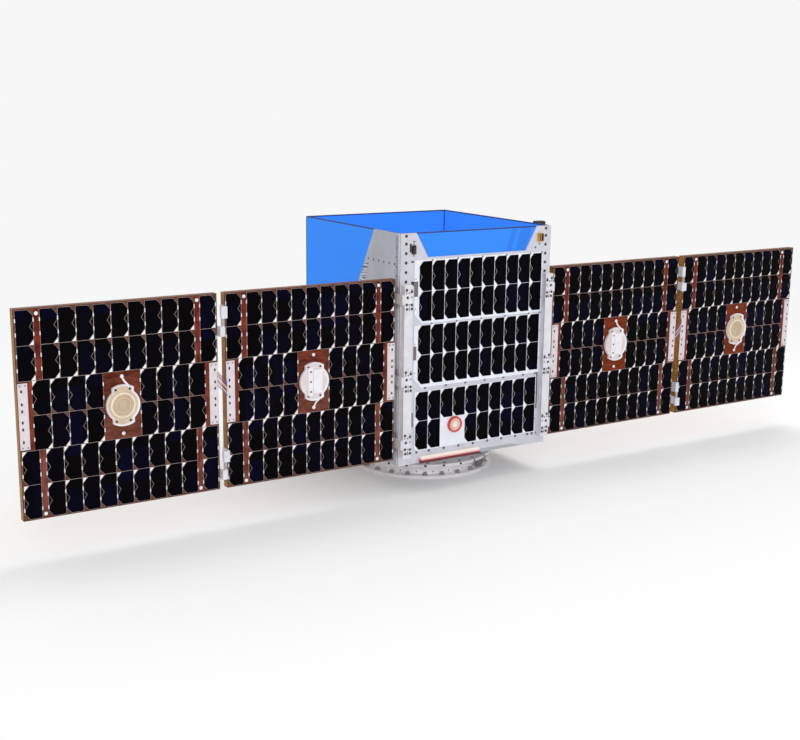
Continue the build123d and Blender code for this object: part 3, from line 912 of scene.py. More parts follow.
for wing in WINGS:
    body = f"{wing}_wing"
    low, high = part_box(f"{wing}_strips")
    front, middle = low.y, (low.z + high.z) / 2
    slots, heads = [], []
    for left, share in zip((low.x, high.x - strip_cover), slot_shares):
        slots += [spot(left + strip_cover * share, front, middle + rise * mm) for rise in slot_rises]
        for inset in screw_insets:
            heads += [spot(left + inset * mm, front, middle + end * screw_rise * mm) for end in (-1, 1)]
    repeat(f"{wing}_strip_slots", SLOT_UNIT, slots, DARK, body)
    repeat(f"{wing}_strip_screws", SCREW_UNIT, heads, STEEL, body)
print("slots on a strip:", len(slot_rises))

# %% [markdown]
# ## Cells on the bus's face
#
# Three white boards on the front wall carry two rows of the same cells, all cropped on the left. The lowest
# row leaves two places free for the sun sensor. Here the white board itself shows between the cells, so the
# cells need no bed, only their tabs and diodes.

# %% Cells of the three boards
board_edges = {"top": (15.0, 3.5), "middle": (13.0, 1.0), "bottom": (3.0, 0.8)}
board_columns, board_gap = 10, 0.85
free_places = (2, 3)
board_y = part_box("face_plate_top")[0].y + 0.25 * mm
board_cells, board_tabs = [], []
for name, (edge, drop) in board_edges.items():
    low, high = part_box(f"face_plate_{name}")
    for row in range(2):
        z = high.z - (drop + cell_tall / 2 + row * (cell_tall + gap_down)) * mm
        for column in range(board_columns):
            if name == "bottom" and row == 1 and column in free_places:
                continue
            x = low.x + (edge + cell_wide / 2 + column * (cell_wide + board_gap)) * mm
            board_cells.append(spot(x, board_y, z))
            left = x - (cell_wide + board_gap) / 2 * mm
            board_tabs += [spot(left, board_y, z + rise * mm, size=(0.6, 1, 0.8)) for rise in tab_rises]
cell_thick = cell_top - bed_top
FACE_CELL = as_mesh(prism(cell_outline(), cell_thick, 0.12), "face cell")
FACE_DIODE = as_mesh(prism(diode, cell_thick, 0.1), "face diode")
FACE_TAB = as_mesh(prism(rectangle(tab_wide, tab_tall), tab_proud, 0.1, cell_thick), "face tab")
FACE_WIRE = as_mesh(prism(bent, 0.12, 0, cell_thick), "face wire")
repeat("bus_solar_cells", FACE_CELL, board_cells, FINISHES["cell_dark"], "bus")
repeat("bus_diodes", FACE_DIODE, board_cells, TAB, "bus")
repeat("bus_tabs", FACE_TAB, board_tabs, TAB, "bus")
repeat("bus_bent_wires", FACE_WIRE, board_cells, STEEL, "bus")
print("cells on the bus:", len(board_cells))

# %% [markdown]
# ## Hold-down cups
#
# Before the wings open, a bolt through each panel's cup clamps the folded stack. The cup is a machined plate
# with an ear above and below, and its outline is two circles: the cup's own, and a wider one that cuts the
# ears off round. The plate's rim stands up as a thin wall. The outer panels' cups hold a beige turned disc,
# and the inner panels' cups a white slotted bracket.

# %% The outline of a cup
cup_radius, ear_radius, ear_half = 41.0, 50.0, 26.0


def cup_outline(shrink=0.0, steps=7):
    """The cup's outline as four arcs: the ears above and below, and the cup's two sides."""
    inner, outer, half = cup_radius - shrink, ear_radius - shrink, ear_half - shrink
    ear, side = acos(half / outer), acos(half / inner)
    arcs = ((outer, ear, pi - ear), (inner, pi - side, pi + side))
    quarter = []
    for radius, start, end in arcs:
        angles = [start + (end - start) * step / steps for step in range(steps + 1)]
        quarter += [(radius * cos(angle), radius * sin(angle)) for angle in angles]
    return quarter + [(-x, -z) for x, z in quarter]


def cup_plate(height, rim, floor):
    """The plate: its outline thickened, with a pocket that leaves a standing rim."""
    shape = prism(cup_outline(), height)
    face = min(shape.faces, key=lambda item: item.calc_center_median().y)
    bmesh.ops.inset_region(shape, faces=[face], thickness=rim, use_even_offset=True)
    bmesh.ops.translate(shape, verts=face.verts, vec=(0, height - floor, 0))
    walls = [edge for edge in shape.edges if edge.calc_face_angle(0) > 1.0 and edge.verts[0].co.y < -floor - 0.1]
    rims = [edge for edge in walls if abs(edge.verts[0].co.y - edge.verts[1].co.y) < 0.01]
    bmesh.ops.bevel(shape, geom=rims, offset=0.4, segments=1, affect="EDGES")
    return shape


print("cup outline:", len(cup_outline()), "points")

# %% Cups of the outer and inner panels
WHITE = plain_paint("white anodised", "strip_white", (242, 238, 246), (224, 220, 228), (252, 250, 254), 0.4, 0.0, 60)
BEIGE = plain_paint("beige disc", "cup_cream", (208, 186, 158), (186, 162, 132), (228, 210, 186), 0.42, 0.1, 120)
PALE = plain_paint("pale pocket", "cup_cream", (222, 210, 212), (196, 182, 184), (242, 234, 236), 0.42, 0.1, 40)
cup_height, cup_rim, cup_floor, disc_radius = 8.0, 4.0, 4.0, 30.0
ear_bolts = [(x, z) for x in (-17, 17) for z in (-38, 38)]


def disc_profile(radius, foot, top, grooves):
    """A turned disc with a stepped rim and concentric grooves about a small centre."""
    profile = [(radius, foot), (radius, top), (radius - 2, top + 0.6), (radius - 4, top)]
    pitch = (radius - 8) / grooves
    for step in range(grooves):
        outer = radius - 5 - step * pitch
        profile += [(outer, top - 0.9), (outer - pitch * 0.5, top - 0.2), (outer - pitch * 0.6, top - 0.9)]
    return profile + [(2.5, top - 0.9), (2.5, top + 0.4), (0, top + 0.6)]


def disc_paint(centre_x, centre_z):
    """Beige, with a painted highlight as a cream ring on the raised rim and painted shade in the grooves. Both discs
    lie at the same distance from X = 0 and share it.
    """
    paint = Finish("turned disc", "cup_cream", (208, 186, 158), 0.42, 0.1)
    across, up = paint.axis("X").absolute() - centre_x, paint.axis("Z") - centre_z
    radius = (across * across + up * up).power(0.5)

    def ring(middle, half):
        return (radius - middle * mm).absolute() < half * mm

    cloud = paint.noise(120, 4, rough=0.6)
    # The grooves are cut in the disc's shape, and the darker colour laid in them is painted shade.
    grooves = ring(5, 0.6) + ring(10, 0.8) + ring(14.5, 0.8) + ring(21, 0.8)
    beige = paint.mix(cloud, (190, 166, 136), (226, 208, 182))
    beige = paint.mix(grooves * 0.7, beige, (150, 126, 96))
    # The cream ring on the raised rim is a painted highlight.
    paint.set("Base Color", paint.mix(ring(disc_radius - 1.4, 1.4), beige, (244, 232, 210)))
    paint.set("Roughness", 0.34 + cloud * 0.16)
    return paint


cup_low, cup_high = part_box("right_outer_cup")
DISC = disc_paint((cup_low.x + cup_high.x) / 2, (cup_low.z + cup_high.z) / 2)
for wing in WINGS:
    body = f"{wing}_wing"
    low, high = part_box(f"{wing}_cup")
    seat = (low.x + high.x) / 2 / mm, high.y / mm, (low.z + high.z) / 2 / mm
    name = f"{wing}_cup"
    plate = stand(cup_plate(cup_height, cup_rim, cup_floor), seat)
    add_piece(name + "_plate", as_mesh(plate, "cup plate", 35), WHITE, body, [name], "cup_cream")
    pocket = prism(cup_outline(cup_rim + 0.4), 0.5, 0.2, cup_floor)
    lining = BEIGE if wing.endswith("outer") else PALE
    add_piece(name + "_pocket", as_mesh(stand(pocket, seat), "cup pocket"), lining, body)
    if wing.endswith("outer"):
        disc = lathe(disc_profile(disc_radius, cup_floor, 6.4, 6), 64)
        add_piece(name + "_disc", as_mesh(stand(disc, seat), "cup disc", 30), DISC, body)
    else:
        bars = [prism(rectangle(13, 74, -11), 3.0, 0.6, cup_floor), prism(rectangle(26, 62, 10), 2.4, 0.6, cup_floor)]
        bracket = gather([stand(bar, seat) for bar in bars], "cup bracket")
        add_piece(name + "_bracket", bracket, WHITE, body, slot="cup_cream")
        place = [spot((seat[0] - 11) * mm, (seat[1] - cup_floor - 3) * mm, (seat[2] + z) * mm) for z in (-26, 0, 26)]
        # The bracket's holes are dark discs of painted shade.
        hole = as_mesh(lathe([(2.6, 0), (2.6, 0.15), (0, 0.15)], 14), "hole")
        repeat(name + "_bracket_holes", hole, place, DARK, body)
    bolts = [spot((seat[0] + x) * mm, (seat[1] - cup_floor) * mm, (seat[2] + z) * mm) for x, z in ear_bolts]
    # The ear holes are dark discs of painted shade.
    unit = as_mesh(lathe([(2.9, 0.5), (2.9, 0.9), (2.0, 1.0), (2.0, 0.62), (0, 0.62)], 14), "ear hole")
    repeat(name + "_ear_holes", unit, bolts, DARK, body)

# %% [markdown]
# ## Holes and screws
#
# The bus is bolted together along its edges. One small turned unit serves every hole and another every screw
# head, and each spot brings its own radius and the wall it faces. Rows with a pitch are worked out from it,
# and only what has no rule is a short list.

# %% Units and directions
FRONT, LEFT, RIGHT, BACK = (0, 0, 0), (0, 0, -pi / 2), (0, 0, pi / 2), (0, 0, pi)
HOLE_UNIT = as_mesh(lathe([(1, 0), (1, 0.15), (0, 0.15)], 14), "hole")
LIP_UNIT = as_mesh(lathe([(1.0, 0.05), (1.02, 0.35), (1.25, 0.3), (1.32, 0)], 14), "hole lip", 40)
HEAD_UNIT = as_mesh(lathe([(1, 0), (1, 0.8), (0.8, 1.1), (0.4, 1.1), (0.4, 0.6), (0, 0.6)], 12), "head", 40)


def facing(place, turn, radius):
    """A spot in millimetres whose radius is a size across the unit's face."""
    return spot(*(value * mm for value in place), turn, (radius, 1, radius))


def holes(name, places, body):
    """Holes, each a dark disc of painted shade with a thin bright lip, at (place, turn, radius)."""
    spots = [facing(*place) for place in places]
    repeat(name + "_holes", HOLE_UNIT, spots, DARK, body)
    repeat(name + "_lips", LIP_UNIT, spots, STEEL, body)


def screws(name, places, body, core=0.55):
    """Steel heads, each in a dark disc of painted shade for its recess, at (place, turn, radius)."""
    repeat(name + "_recesses", HOLE_UNIT, [facing(*place) for place in places], DARK, body)
    heads = [facing(place, turn, radius * core) for place, turn, radius in places]
    repeat(name + "_heads", HEAD_UNIT, heads, STEEL, body)


board_face = board_y / mm
print("front wall at", round(wall_y, 1), "and boards at", round(board_face, 1))

# %% Fasteners of the front wall
edge_column = 232.0
edge_drops = [7.0] + [27.5 + 25 * step for step in range(5)]
edge_places = [((sign * edge_column, wall_y, top_z - drop), FRONT, 3.7) for sign in (-1, 1) for drop in edge_drops]
holes("bus_edge", edge_places, "bus")
foot_row_x = [-191.0] + [-150.5 + 49.5 * step for step in range(7)] + [190.0, 206.0, 223.0]
wall_screws = [((x, wall_y, foot_z + 31), FRONT, 3.8) for x in foot_row_x]
wall_screws += [((x, wall_y, foot_z + 38.5), FRONT, 1.8) for x in (-71.5, 10.5)]
wall_screws += [((x, wall_y, 291.5), FRONT, 3.8) for x in (-166, -98, -33, 33, 98.5, 167, 211.4)]
wall_screws.append(((196.5, wall_y, 653), FRONT, 3.0))
screws("bus_wall", wall_screws, "bus", 0.4)
seam_columns = [-191 + column * (cell_wide + board_gap) for column in (1, 3, 5, 7, 9)]
board_screws = [((x, board_face, z), FRONT, 2.6) for x in seam_columns + [218.5] for z in (638.0, 467.2)]
for name in board_edges:
    low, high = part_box(f"face_plate_{name}")
    for share in (0.24, 0.71):
        z = (low.z + share * (high.z - low.z)) / mm
        board_screws += [((x, board_face, z), FRONT, 1.6) for x in (low.x / mm + 4, high.x / mm - 1.8)]
screws("bus_board", board_screws, "bus")
print("screws on the front:", len(wall_screws) + len(board_screws))

# %% [markdown]
# ## Recesses of the front wall
#
# Beside the boards the wall has milled windows for plugs. A shallow recess seen from a metre away is a dark or
# grey patch of shade with a crisp edge, so each is a thin bevelled plate of painted shade that lies in the window.
# One black patch, beside a white board's corner, is a painted shadow of that corner.

# %% Recesses and windows
GREY = plain_paint("grey recess", "hinge_metal", (118, 106, 106), (92, 82, 84), (146, 134, 134), 0.6, 0.2, 200)


def wall_patch(left, right, low, high, proud=0.3):
    """A thin plate on the front wall between two heights, in millimetres."""
    outline = rectangle(right - left, high - low)
    return stand(prism(outline, proud, 0.1), ((left + right) / 2, wall_y, (low + high) / 2))


# The black patches are painted shade in the windows, and the one from 634.5 to 638.5 is a painted shadow beside a
# board's corner.
black_window_shade = [(-221, -215.5, 661.5, 684.5), (-211.5, -203.5, 688.6, 690.8), (-216, -207, 634.5, 638.5)]
black_window_shade += [(-215.5, -206.5, 571, 584), (206, 214, 661, 663), (216, 220, 186, 293)]
# The grey patches are lighter painted shade in the windows.
grey_window_shade = [(-206, -194, 543, 584), (-206, -197, 371, 409), (-212, -204, 186, 226)]
dark_shade_patches = gather([wall_patch(*window) for window in black_window_shade], "black window shade")
grey_shade_patches = gather([wall_patch(*window) for window in grey_window_shade], "grey window shade")
add_piece("bus_black_windows", dark_shade_patches, DARK, "bus")
add_piece("bus_grey_windows", grey_shade_patches, GREY, "bus")

# %% [markdown]
# ## Side walls
#
# Each side wall carries a row of holes below its top and a short column of them near the front. A dark joint
# and a bright trim run down its front corner, with a duller strip behind them. Silver foil is taped over the
# slanted edge beside the bin. Foil crinkles into flat facets, so it is a fine grid pushed out by noise and
# left flat shaded.

# %% Holes of the sides and the back
side_row = [-236.5 + 26.9 * step for step in range(6)]
side_places = []
for sign, turn in ((-1, LEFT), (1, RIGHT)):
    side_places += [((sign * side_x, y, 629.5), turn, 2.8) for y in side_row]
    side_places += [((sign * side_x, -247, z), turn, 2.3) for z in (697, 673, 649, 624, 600)]
    side_places += [((sign * side_x, y, 118), turn, 2.8) for y in range(-200, 241, 55)]
    side_places += [((sign * side_x, y, 386), turn, 2.8) for y in range(-90, 241, 55)]
holes("bus_side", side_places, "bus")
back_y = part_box("back_plate")[1].y / mm
back_places = [((x, back_y, z), BACK, 3.0) for x in range(-225, 226, 50) for z in (98, 386)]
back_places += [((sign * 235, back_y, z), BACK, 3.0) for sign in (-1, 1) for z in (146, 194, 242, 290, 338)]
screws("bus_back", back_places, "bus")


# %% Joints, trims and strips of the side walls
def side_band(sign, back, wide, low, high, proud=0.06):
    """A thin upright strip on a side wall, whose middle lies this far behind the front wall."""
    band = spin(prism(rectangle(wide, high - low), proud), sign * pi / 2, "Z")
    return stand(band, (sign * side_x, wall_y + back, (low + high) / 2))


JOINT_METAL = plain_paint(
    "joint strip", "aluminium_wall", (140, 144, 158), (104, 108, 124), (170, 172, 184), 0.4, 0.2, 60
)
for name, finish, *band in (  # how far back, width, foot and top
    ("bus_corner_joints", DARK, 1.1, 1.7, foot_z, top_z),
    ("bus_corner_trims", FINISHES["aluminium_wall"], 5.5, 6.4, foot_z, top_z - 1),
    ("bus_side_strips", JOINT_METAL, 17.5, 12.0, 130, top_z - 6),
):
    add_piece(name, gather([side_band(sign, *band) for sign in (-1, 1)], name), finish, "bus")


# %% Creased foil
def foil_skin():
    """Bright metal with painted shade along the creases that run across the strip."""
    paint = Finish("silver foil", "hinge_metal", (176, 180, 190), 0.25, 0.5)
    # This mask lays painted shade along the foil's creases.
    crease_shade = ((paint.noise(110, 4, (1, 0.3, 2.2), rough=0.6) - 0.38) * 6).clamp()
    paint.set("Base Color", paint.mix(crease_shade, (76, 82, 104), (190, 194, 204)))
    paint.set("Roughness", 0.2 + crease_shade * 0.15)
    return paint


FOIL = foil_skin()
gusset_back, gusset_slope = -131.0, 0.552
foil_top, foil_rows, foil_columns, foil_step = 618, 36, 9, 5.5
foil_narrow, foil_widening = 2.9, 0.14


def crinkled_foil(sign):
    """A strip along the slanted edge, pushed out by noise, whose border stays down on the wall."""
    shape = bmesh.new()
    grid = []
    for row in range(foil_rows):
        z = foil_top - row * foil_step
        pitch = foil_narrow + foil_widening * row
        line = []
        for column in range(foil_columns):
            y = gusset_back + (top_z - z) * gusset_slope - 1 - column * pitch
            rim = row in (0, foil_rows - 1) or column in (0, foil_columns - 1)
            wave = noise.noise(Vector((y * 0.11, z * 0.16, sign))) + 0.5 * noise.noise(Vector((y * 0.3, z * 0.3, 9)))
            proud = 0.2 if rim else 1.8 + 1.4 * wave
            line.append(shape.verts.new((sign * (side_x + proud), y, z)))
        grid.append(line)
    for upper, lower in zip(grid, grid[1:]):
        for column in range(foil_columns - 1):
            shape.faces.new((upper[column], upper[column + 1], lower[column + 1], lower[column]))
    for item in bmesh.ops.extrude_face_region(shape, geom=list(shape.faces))["geom"]:
        if isinstance(item, bmesh.types.BMVert):
            item.co.x = sign * side_x
    bmesh.ops.recalc_face_normals(shape, faces=shape.faces)
    return shape


add_piece("bus_side_foil", gather([crinkled_foil(-1), crinkled_foil(1)], "side foil"), FOIL, "bus")
print("side holes:", len(side_places), "back screws:", len(back_places))

# %% [markdown]
# ## Rim and corners of the bin
#
# The bin's panels meet at a dark sealed line along the rim and in the corners. The lines are thin square
# beads: one round the rim, one in each inner corner, and one down each outer corner that shows.

# %% Sealed lines of the bin
SEAL = plain_paint("dark blue seal", "bin_blue", (22, 52, 112), (14, 36, 84), (34, 70, 140), 0.6, 0.0, 150)
bin_x, bin_y, bin_floor_z = box_mm("bin_floor")[1]


def bead(x, y, z, wide, deep, tall):
    """A square bead about a centre, with its edges broken."""
    shape = bmesh.new()
    bmesh.ops.create_cube(shape, size=1.0)
    bmesh.ops.scale(shape, verts=shape.verts, vec=(wide, deep, tall))
    bmesh.ops.bevel(shape, geom=shape.edges[:], offset=min(wide, deep, tall) * 0.25, segments=1, affect="EDGES")
    return stand(shape, (x, y, z))


bead_wide, wall_thick = 2.6, 3.0
beads = []
rim_wide, rim_tall = wall_thick + 0.8, 4.2
for sign in (-1, 1):
    rim_z = top_z + 0.8 - rim_tall / 2
    beads.append(bead(sign * (bin_x - wall_thick / 2), 0, rim_z, rim_wide, 2 * bin_y + 0.8, rim_tall))
    beads.append(bead(0, sign * (bin_y - wall_thick / 2), rim_z, 2 * bin_x, rim_wide, rim_tall))
    for other in (-1, 1):
        corner = sign * (bin_x - wall_thick - 0.7), other * (bin_y - wall_thick - 0.7)
        beads.append(bead(*corner, (top_z + bin_floor_z) / 2, bead_wide, bead_wide, top_z - bin_floor_z))
    side_top = foot_z + 320
    beads.append(bead(sign * bin_x, bin_y, (top_z + side_top) / 2, bead_wide, bead_wide, top_z - side_top))
add_piece("bin_sealed_lines", gather(beads, "sealed lines"), SEAL, "bus")

# %% [markdown]
# ## Sun sensor, connector, imager and antenna
#
# The sun sensor is turned: a red rim, a pale dish and a white eye. Each has a profile of its own, and together
# they stand for one solid. The imager has a dark window over the right half of its gold block, and the connector a
# field of gold pins.

# %% The sun sensor
def turned(profile, name, seat, steps=48, smooth=35):
    """A lathed profile moved to its seat."""
    return as_mesh(stand(lathe(profile, steps), seat), name, smooth)


sensor_low, sensor_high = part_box("sun_sensor")
middle = (sensor_low + sensor_high) / 2 / mm
sensor_seat = middle.x, sensor_high.y / mm, middle.z
RED_RIM = plain_paint("red rim", "sensor_red", (206, 62, 52), (184, 44, 38), (226, 92, 78), 0.35, 0.0, 120)
DISH = plain_paint("pale dish", "strip_white", (240, 200, 182), (226, 176, 156), (250, 222, 206), 0.45, 0.0, 120)
rim_profile = [(17.2, 4.5), (17.8, 7.5), (18.8, 8.8), (20.6, 8.8), (21.9, 7.4), (22.5, 5), (22.5, 0), (0, 0)]
dish_profile = [(17.7, 1), (17.7, 5.2), (14, 4.6), (12, 4.8), (11.6, 6.2), (10.4, 6.2), (10, 4.4), (0, 4.4), (0, 1)]
rim = turned(rim_profile + [(0, 4.5)], "rim", sensor_seat)
add_piece("sun_sensor_rim", rim, RED_RIM, "bus", ["sun_sensor"])
add_piece("sun_sensor_dish", turned(dish_profile, "dish", sensor_seat), DISH, "bus")
eye_profile = [(0, 4.2), (8.8, 4.2), (8.8, 6.2), (7, 7.4), (0, 8)]
add_piece("sun_sensor_eye", turned(eye_profile, "eye", sensor_seat, 28), WHITE, "bus")

# %% Details of the imager, the connector and the antenna
imager_low, imager_high = box_mm("corner_imager")
imager_mid = (imager_low + imager_high) / 2
window = stand(prism(rectangle(7.8, 18.8, 4), 1.8, 0.3), (imager_mid.x, imager_low.y + 2, imager_mid.z))
add_piece("imager_window", as_mesh(window, "window"), BLACK, "bus")
ribs = [prism(rectangle(1.8, 20, x), 1.0, 0.3) for x in (-6.6, -1.4)]
ribs = [stand(rib, (imager_mid.x, imager_low.y, imager_mid.z)) for rib in ribs]
add_piece("imager_ribs", gather(ribs, "ribs"), FINISHES["imager_gold"], "bus")
# The groove is a thin dark strip of painted shade.
groove = stand(prism(rectangle(2.2, 19, -4), 0.25), (imager_mid.x, imager_low.y, imager_mid.z))
add_piece("imager_groove", as_mesh(groove, "groove"), DARK, "bus")
plug_low, plug_high = box_mm("face_connector")
plug_mid = (plug_low + plug_high) / 2
pins = [((plug_mid.x + x, plug_low.y, plug_mid.z + z), FRONT, 0.5) for x in (-2, 2) for z in range(-8, 9, 4)]
repeat("connector_pins", HEAD_UNIT, [facing(*pin) for pin in pins], FINISHES["imager_gold"], "bus")
jack_screws = [((plug_mid.x, wall_y, plug_mid.z + z), FRONT, 2.2) for z in (-15.5, 15.5)]
screws("connector_jack", jack_screws, "bus")


def upright(shape, name, smooth=30):
    """A unit that was made to face the front, laid so that it faces up."""
    return as_mesh(spin(shape, -pi / 2, "X"), name, smooth)


patch_low, patch_high = box_mm("side_antenna")
patch_mid, patch_size = (patch_low + patch_high) / 2, patch_high - patch_low
plate = upright(prism(rectangle(patch_size.x, patch_size.y), 3, 0.4), "antenna plate", 0)
plate.transform(Matrix.Translation(Vector((patch_mid.x, patch_mid.y, patch_low.z)) * mm))
add_piece("side_antenna_plate", plate, STEEL, "bus", ["side_antenna"])
puck = upright(prism(rectangle(patch_size.x - 18, patch_size.y - 4), patch_size.z - 4, 2.2), "antenna puck", 30)
puck.transform(Matrix.Translation(Vector((patch_mid.x + 6, patch_mid.y, patch_low.z + 3)) * mm))
add_piece("side_antenna_puck", puck, DARK, "bus")
print("sensor at", [round(value, 1) for value in sensor_seat])

# %% [markdown]
# ## Separation ring
#
# The ring has two flanges on one neck, and its bolts stand on the foot flange outside the neck. Both bodies
# are closed sections turned about Z. The bolt holes are cut by a Boolean modifier, whose cutter is one mesh
# of upright cylinders, and the modified mesh is read back as a plain one.
# The rows of bolts, holes and pins come from the tree that places a unit round a circle.


# %% Two turned bodies with bolt holes
def hoop(profile, name, steps=144):
    """A closed section of (radius, height) points turned about the Z axis."""
    shape = bmesh.new()
    sections = [[(radius * cos(a), radius * sin(a), height) for a in angles_of(steps)] for radius, height in profile]
    rings = [[shape.verts.new(place) for place in section] for section in sections]
    return as_mesh(skin(shape, rings + rings[:1]), name, 30)


def drilled(mesh, circle, count, radius, low, high):
    """The mesh after a circle of upright holes is cut through it."""
    drill = bmesh.new()
    size = {"radius1": radius, "radius2": radius, "depth": high - low, "segments": 20, "cap_ends": True}
    for turn in angles_of(count):
        place = Matrix.Translation((circle * cos(turn), circle * sin(turn), (low + high) / 2))
        bmesh.ops.create_cone(drill, matrix=place, **size)
    items = work_objects("drilling", (mesh, as_mesh(drill, "drill")))
    cut = items[0].modifiers.new("holes", "BOOLEAN")
    cut.operation, cut.solver, cut.object = "DIFFERENCE", "EXACT", items[1]
    whole = taken_back(items)
    whole.set_sharp_from_angle(angle=radians(30))
    return whole


flange_radius, neck_radius, bolt_circle = 206.0, 181.0, 190.5
ring_split, ring_top = (corner.z for corner in box_mm("upper_ring"))
ring_profile = [
    (171, 0), (flange_radius - 0.8, 0), (flange_radius, 0.8), (flange_radius, 7.2), (flange_radius - 0.8, 8),
    (neck_radius + 2, 8), (neck_radius + 0.6, 8.6), (neck_radius, 10), (neck_radius, ring_split - 10),
    (neck_radius + 0.6, ring_split - 8.6), (neck_radius + 2, ring_split - 8), (flange_radius - 0.8, ring_split - 8),
    (flange_radius, ring_split - 7.2), (flange_radius, ring_split - 0.8), (flange_radius - 0.8, ring_split),
    (171, ring_split), (171, ring_split - 6), (176, ring_split - 8), (176, 8), (171, 6),
]
lower_ring = drilled(hoop(ring_profile, "lower ring"), bolt_circle, 24, 3.4, -1, 9)
add_piece("lower_ring_body", lower_ring, FINISHES["ring_metal"], "bus", ["lower_ring"])
adapter_profile = [
    (150, ring_split), (171, ring_split), (172, ring_split + 1), (172, ring_top), (150, ring_top),
    (150, ring_top - 6), (167, ring_top - 6), (167, ring_split + 6), (150, ring_split + 6),
]
upper_ring = hoop(adapter_profile, "upper ring")
add_piece("upper_ring_body", upper_ring, FINISHES["ring_metal"], "bus", ["upper_ring"])
print("triangles in the lower ring:", len(lower_ring.loops) - 2 * len(lower_ring.polygons))

# %% Bolts, rim slots and neck pins of the ring
bolt = [(0, -7.7), (3.2, -7.7), (3.2, 0), (7.2, 0), (7.2, 1.4), (5.6, 1.4), (5.6, 6.4), (5, 7), (3, 7), (3, 4), (0, 4)]
# The dark disc under each bolt head is painted shade round the bolt, and the joint holes and rim slots are dark discs
# of painted shade too.
bolt_shade_disc = [(8.2, -0.2), (8.2, 0.3), (0, 0.3)]
socket = [(3.6, -0.2), (3.6, 0.2), (0, 0.2)]
lip = [(3.6, -0.2), (3.6, 0.5), (4.6, 0.5), (5, -0.2)]
rim_slot = as_mesh(prism(capsule(5.5, 8.5), 0.3, 0.5), "rim slot")
rim_slot.transform(Matrix.Rotation(pi / 2, 4, "Y"))
pin = as_mesh(lathe([(2.4, -0.3), (2.4, 1.0), (1.8, 1.5), (0, 1.5)], 12), "neck pin", 40)
for name, unit, radius, height, phase, finish in (
    ("bolts", upright(lathe(bolt, 18), "ring bolt"), bolt_circle, 8, 0, STEEL),
    ("bolt_seats", upright(lathe(bolt_shade_disc, 18), "bolt shade disc", 0), bolt_circle, 8, 0, DARK),
    ("joint_holes", upright(lathe(socket, 16), "joint hole", 0), bolt_circle, ring_split, 2, DARK),
    ("joint_lips", upright(lathe(lip, 16), "joint lip"), bolt_circle, ring_split, 2, STEEL),
    ("rim_slots", rim_slot, flange_radius, ring_split - 4, 0, DARK),
    ("neck_pins", pin, neck_radius, 14, 7.5, STEEL),
):
    round_row("ring_" + name, unit, radius, height, phase, finish)
plug_turn = Matrix.Rotation(radians(-62), 4, "Z") @ Matrix.Translation((184 * mm, 0, 21 * mm))
plug_turn = plug_turn @ Matrix.Rotation(pi / 2, 4, "Z")
plug_body = as_mesh(prism(rectangle(30, 20), 9, 1.2, 4), "ring plug")
plug_body.transform(plug_turn)
add_piece("ring_plug", plug_body, GREY, "bus")
plug_bars = gather([prism(rectangle(3, 12, x), 11, 0.6, 0) for x in (-9, -1, 8)], "ring plug bars")
plug_bars.transform(plug_turn)
add_piece("ring_plug_bars", plug_bars, STEEL, "bus")
print("the plug stands at", [round(value, 3) for value in plug_turn.translation])

# %% [markdown]
# ## Hinges
#
# Each root hinge is bolted to its rail by a face with nine fasteners, some open holes and some screws. At the
# mid hinge a bright coil spring turns about the pin and pushes the wing open. The coil is a tube along a helix.

# %% Fasteners of the root hinges
hinge_heights = [(panel_low.z / mm) + height for height in (43.0, 216.5, 437.5)]
strap_thick, strap_start = 5.0, 14.5
open_holes = [(-7, 26), (8.5, 21), (-4.5, 6), (-7, -12.5), (8.5, -14), (9, -24.5), (-6, -24.5)]
small_screws = [(8.5, 26), (-7.5, 18.5), (1, 18), (9, 7), (0.5, -13), (1, -21), (1.5, -26)]
for side, sign in SIDES.items():
    low, high = box_mm(f"{side}_hinge_rail")
    rail_x = sign * (side_x - 15)
    faces, heads, domes = [], [], []
    for height in hinge_heights:
        faces += [((rail_x - sign * x, low.y, height + z), FRONT, 3.3) for x, z in open_holes]
        heads += [((rail_x - sign * x, low.y, height + z), FRONT, 2.2) for x, z in small_screws]
        domes.append(facing((rail_x - sign * 3, low.y, height - 3), FRONT, 3.0))
    holes(f"{side}_hinge_face", faces, "bus")
    screws(f"{side}_hinge_face_screw", heads, "bus", 0.6)
    repeat(f"{side}_hinge_domes", HEAD_UNIT, domes, WHITE, "bus")
    back, edge = panel_high.y / mm + strap_thick, sign * (side_x + strap_start)
    corners = [(x, z) for x in (9, 24) for z in (-19, 19)]
    places = [((edge + sign * x, back, height + z), BACK, 2.4) for x, z in corners for height in hinge_heights]
    screws(f"{side}_hinge_strap", places, f"{side}_inner_wing")


# %% A tube along points
def tube(points, radius, sides=8, flat=1.0):
    """A round or flattened tube through points in millimetres, with its ends closed."""
    shape = bmesh.new()
    rings = []
    for index, point in enumerate(points):
        before, after = points[max(index - 1, 0)], points[min(index + 1, len(points) - 1)]
        along = (Vector(after) - Vector(before)).normalized()
        across = along.cross(Vector((0, 1, 0)))
        across = across.normalized() if across.length > 0.1 else Vector((1, 0, 0))
        proud = across.cross(along).normalized()
        steps = [across * radius * cos(a) + proud * radius * flat * sin(a) for a in angles_of(sides)]
        rings.append([shape.verts.new(Vector(point) + step) for step in steps])
    for end in (rings[0], rings[-1]):
        shape.faces.new(end)
    return skin(shape, rings)


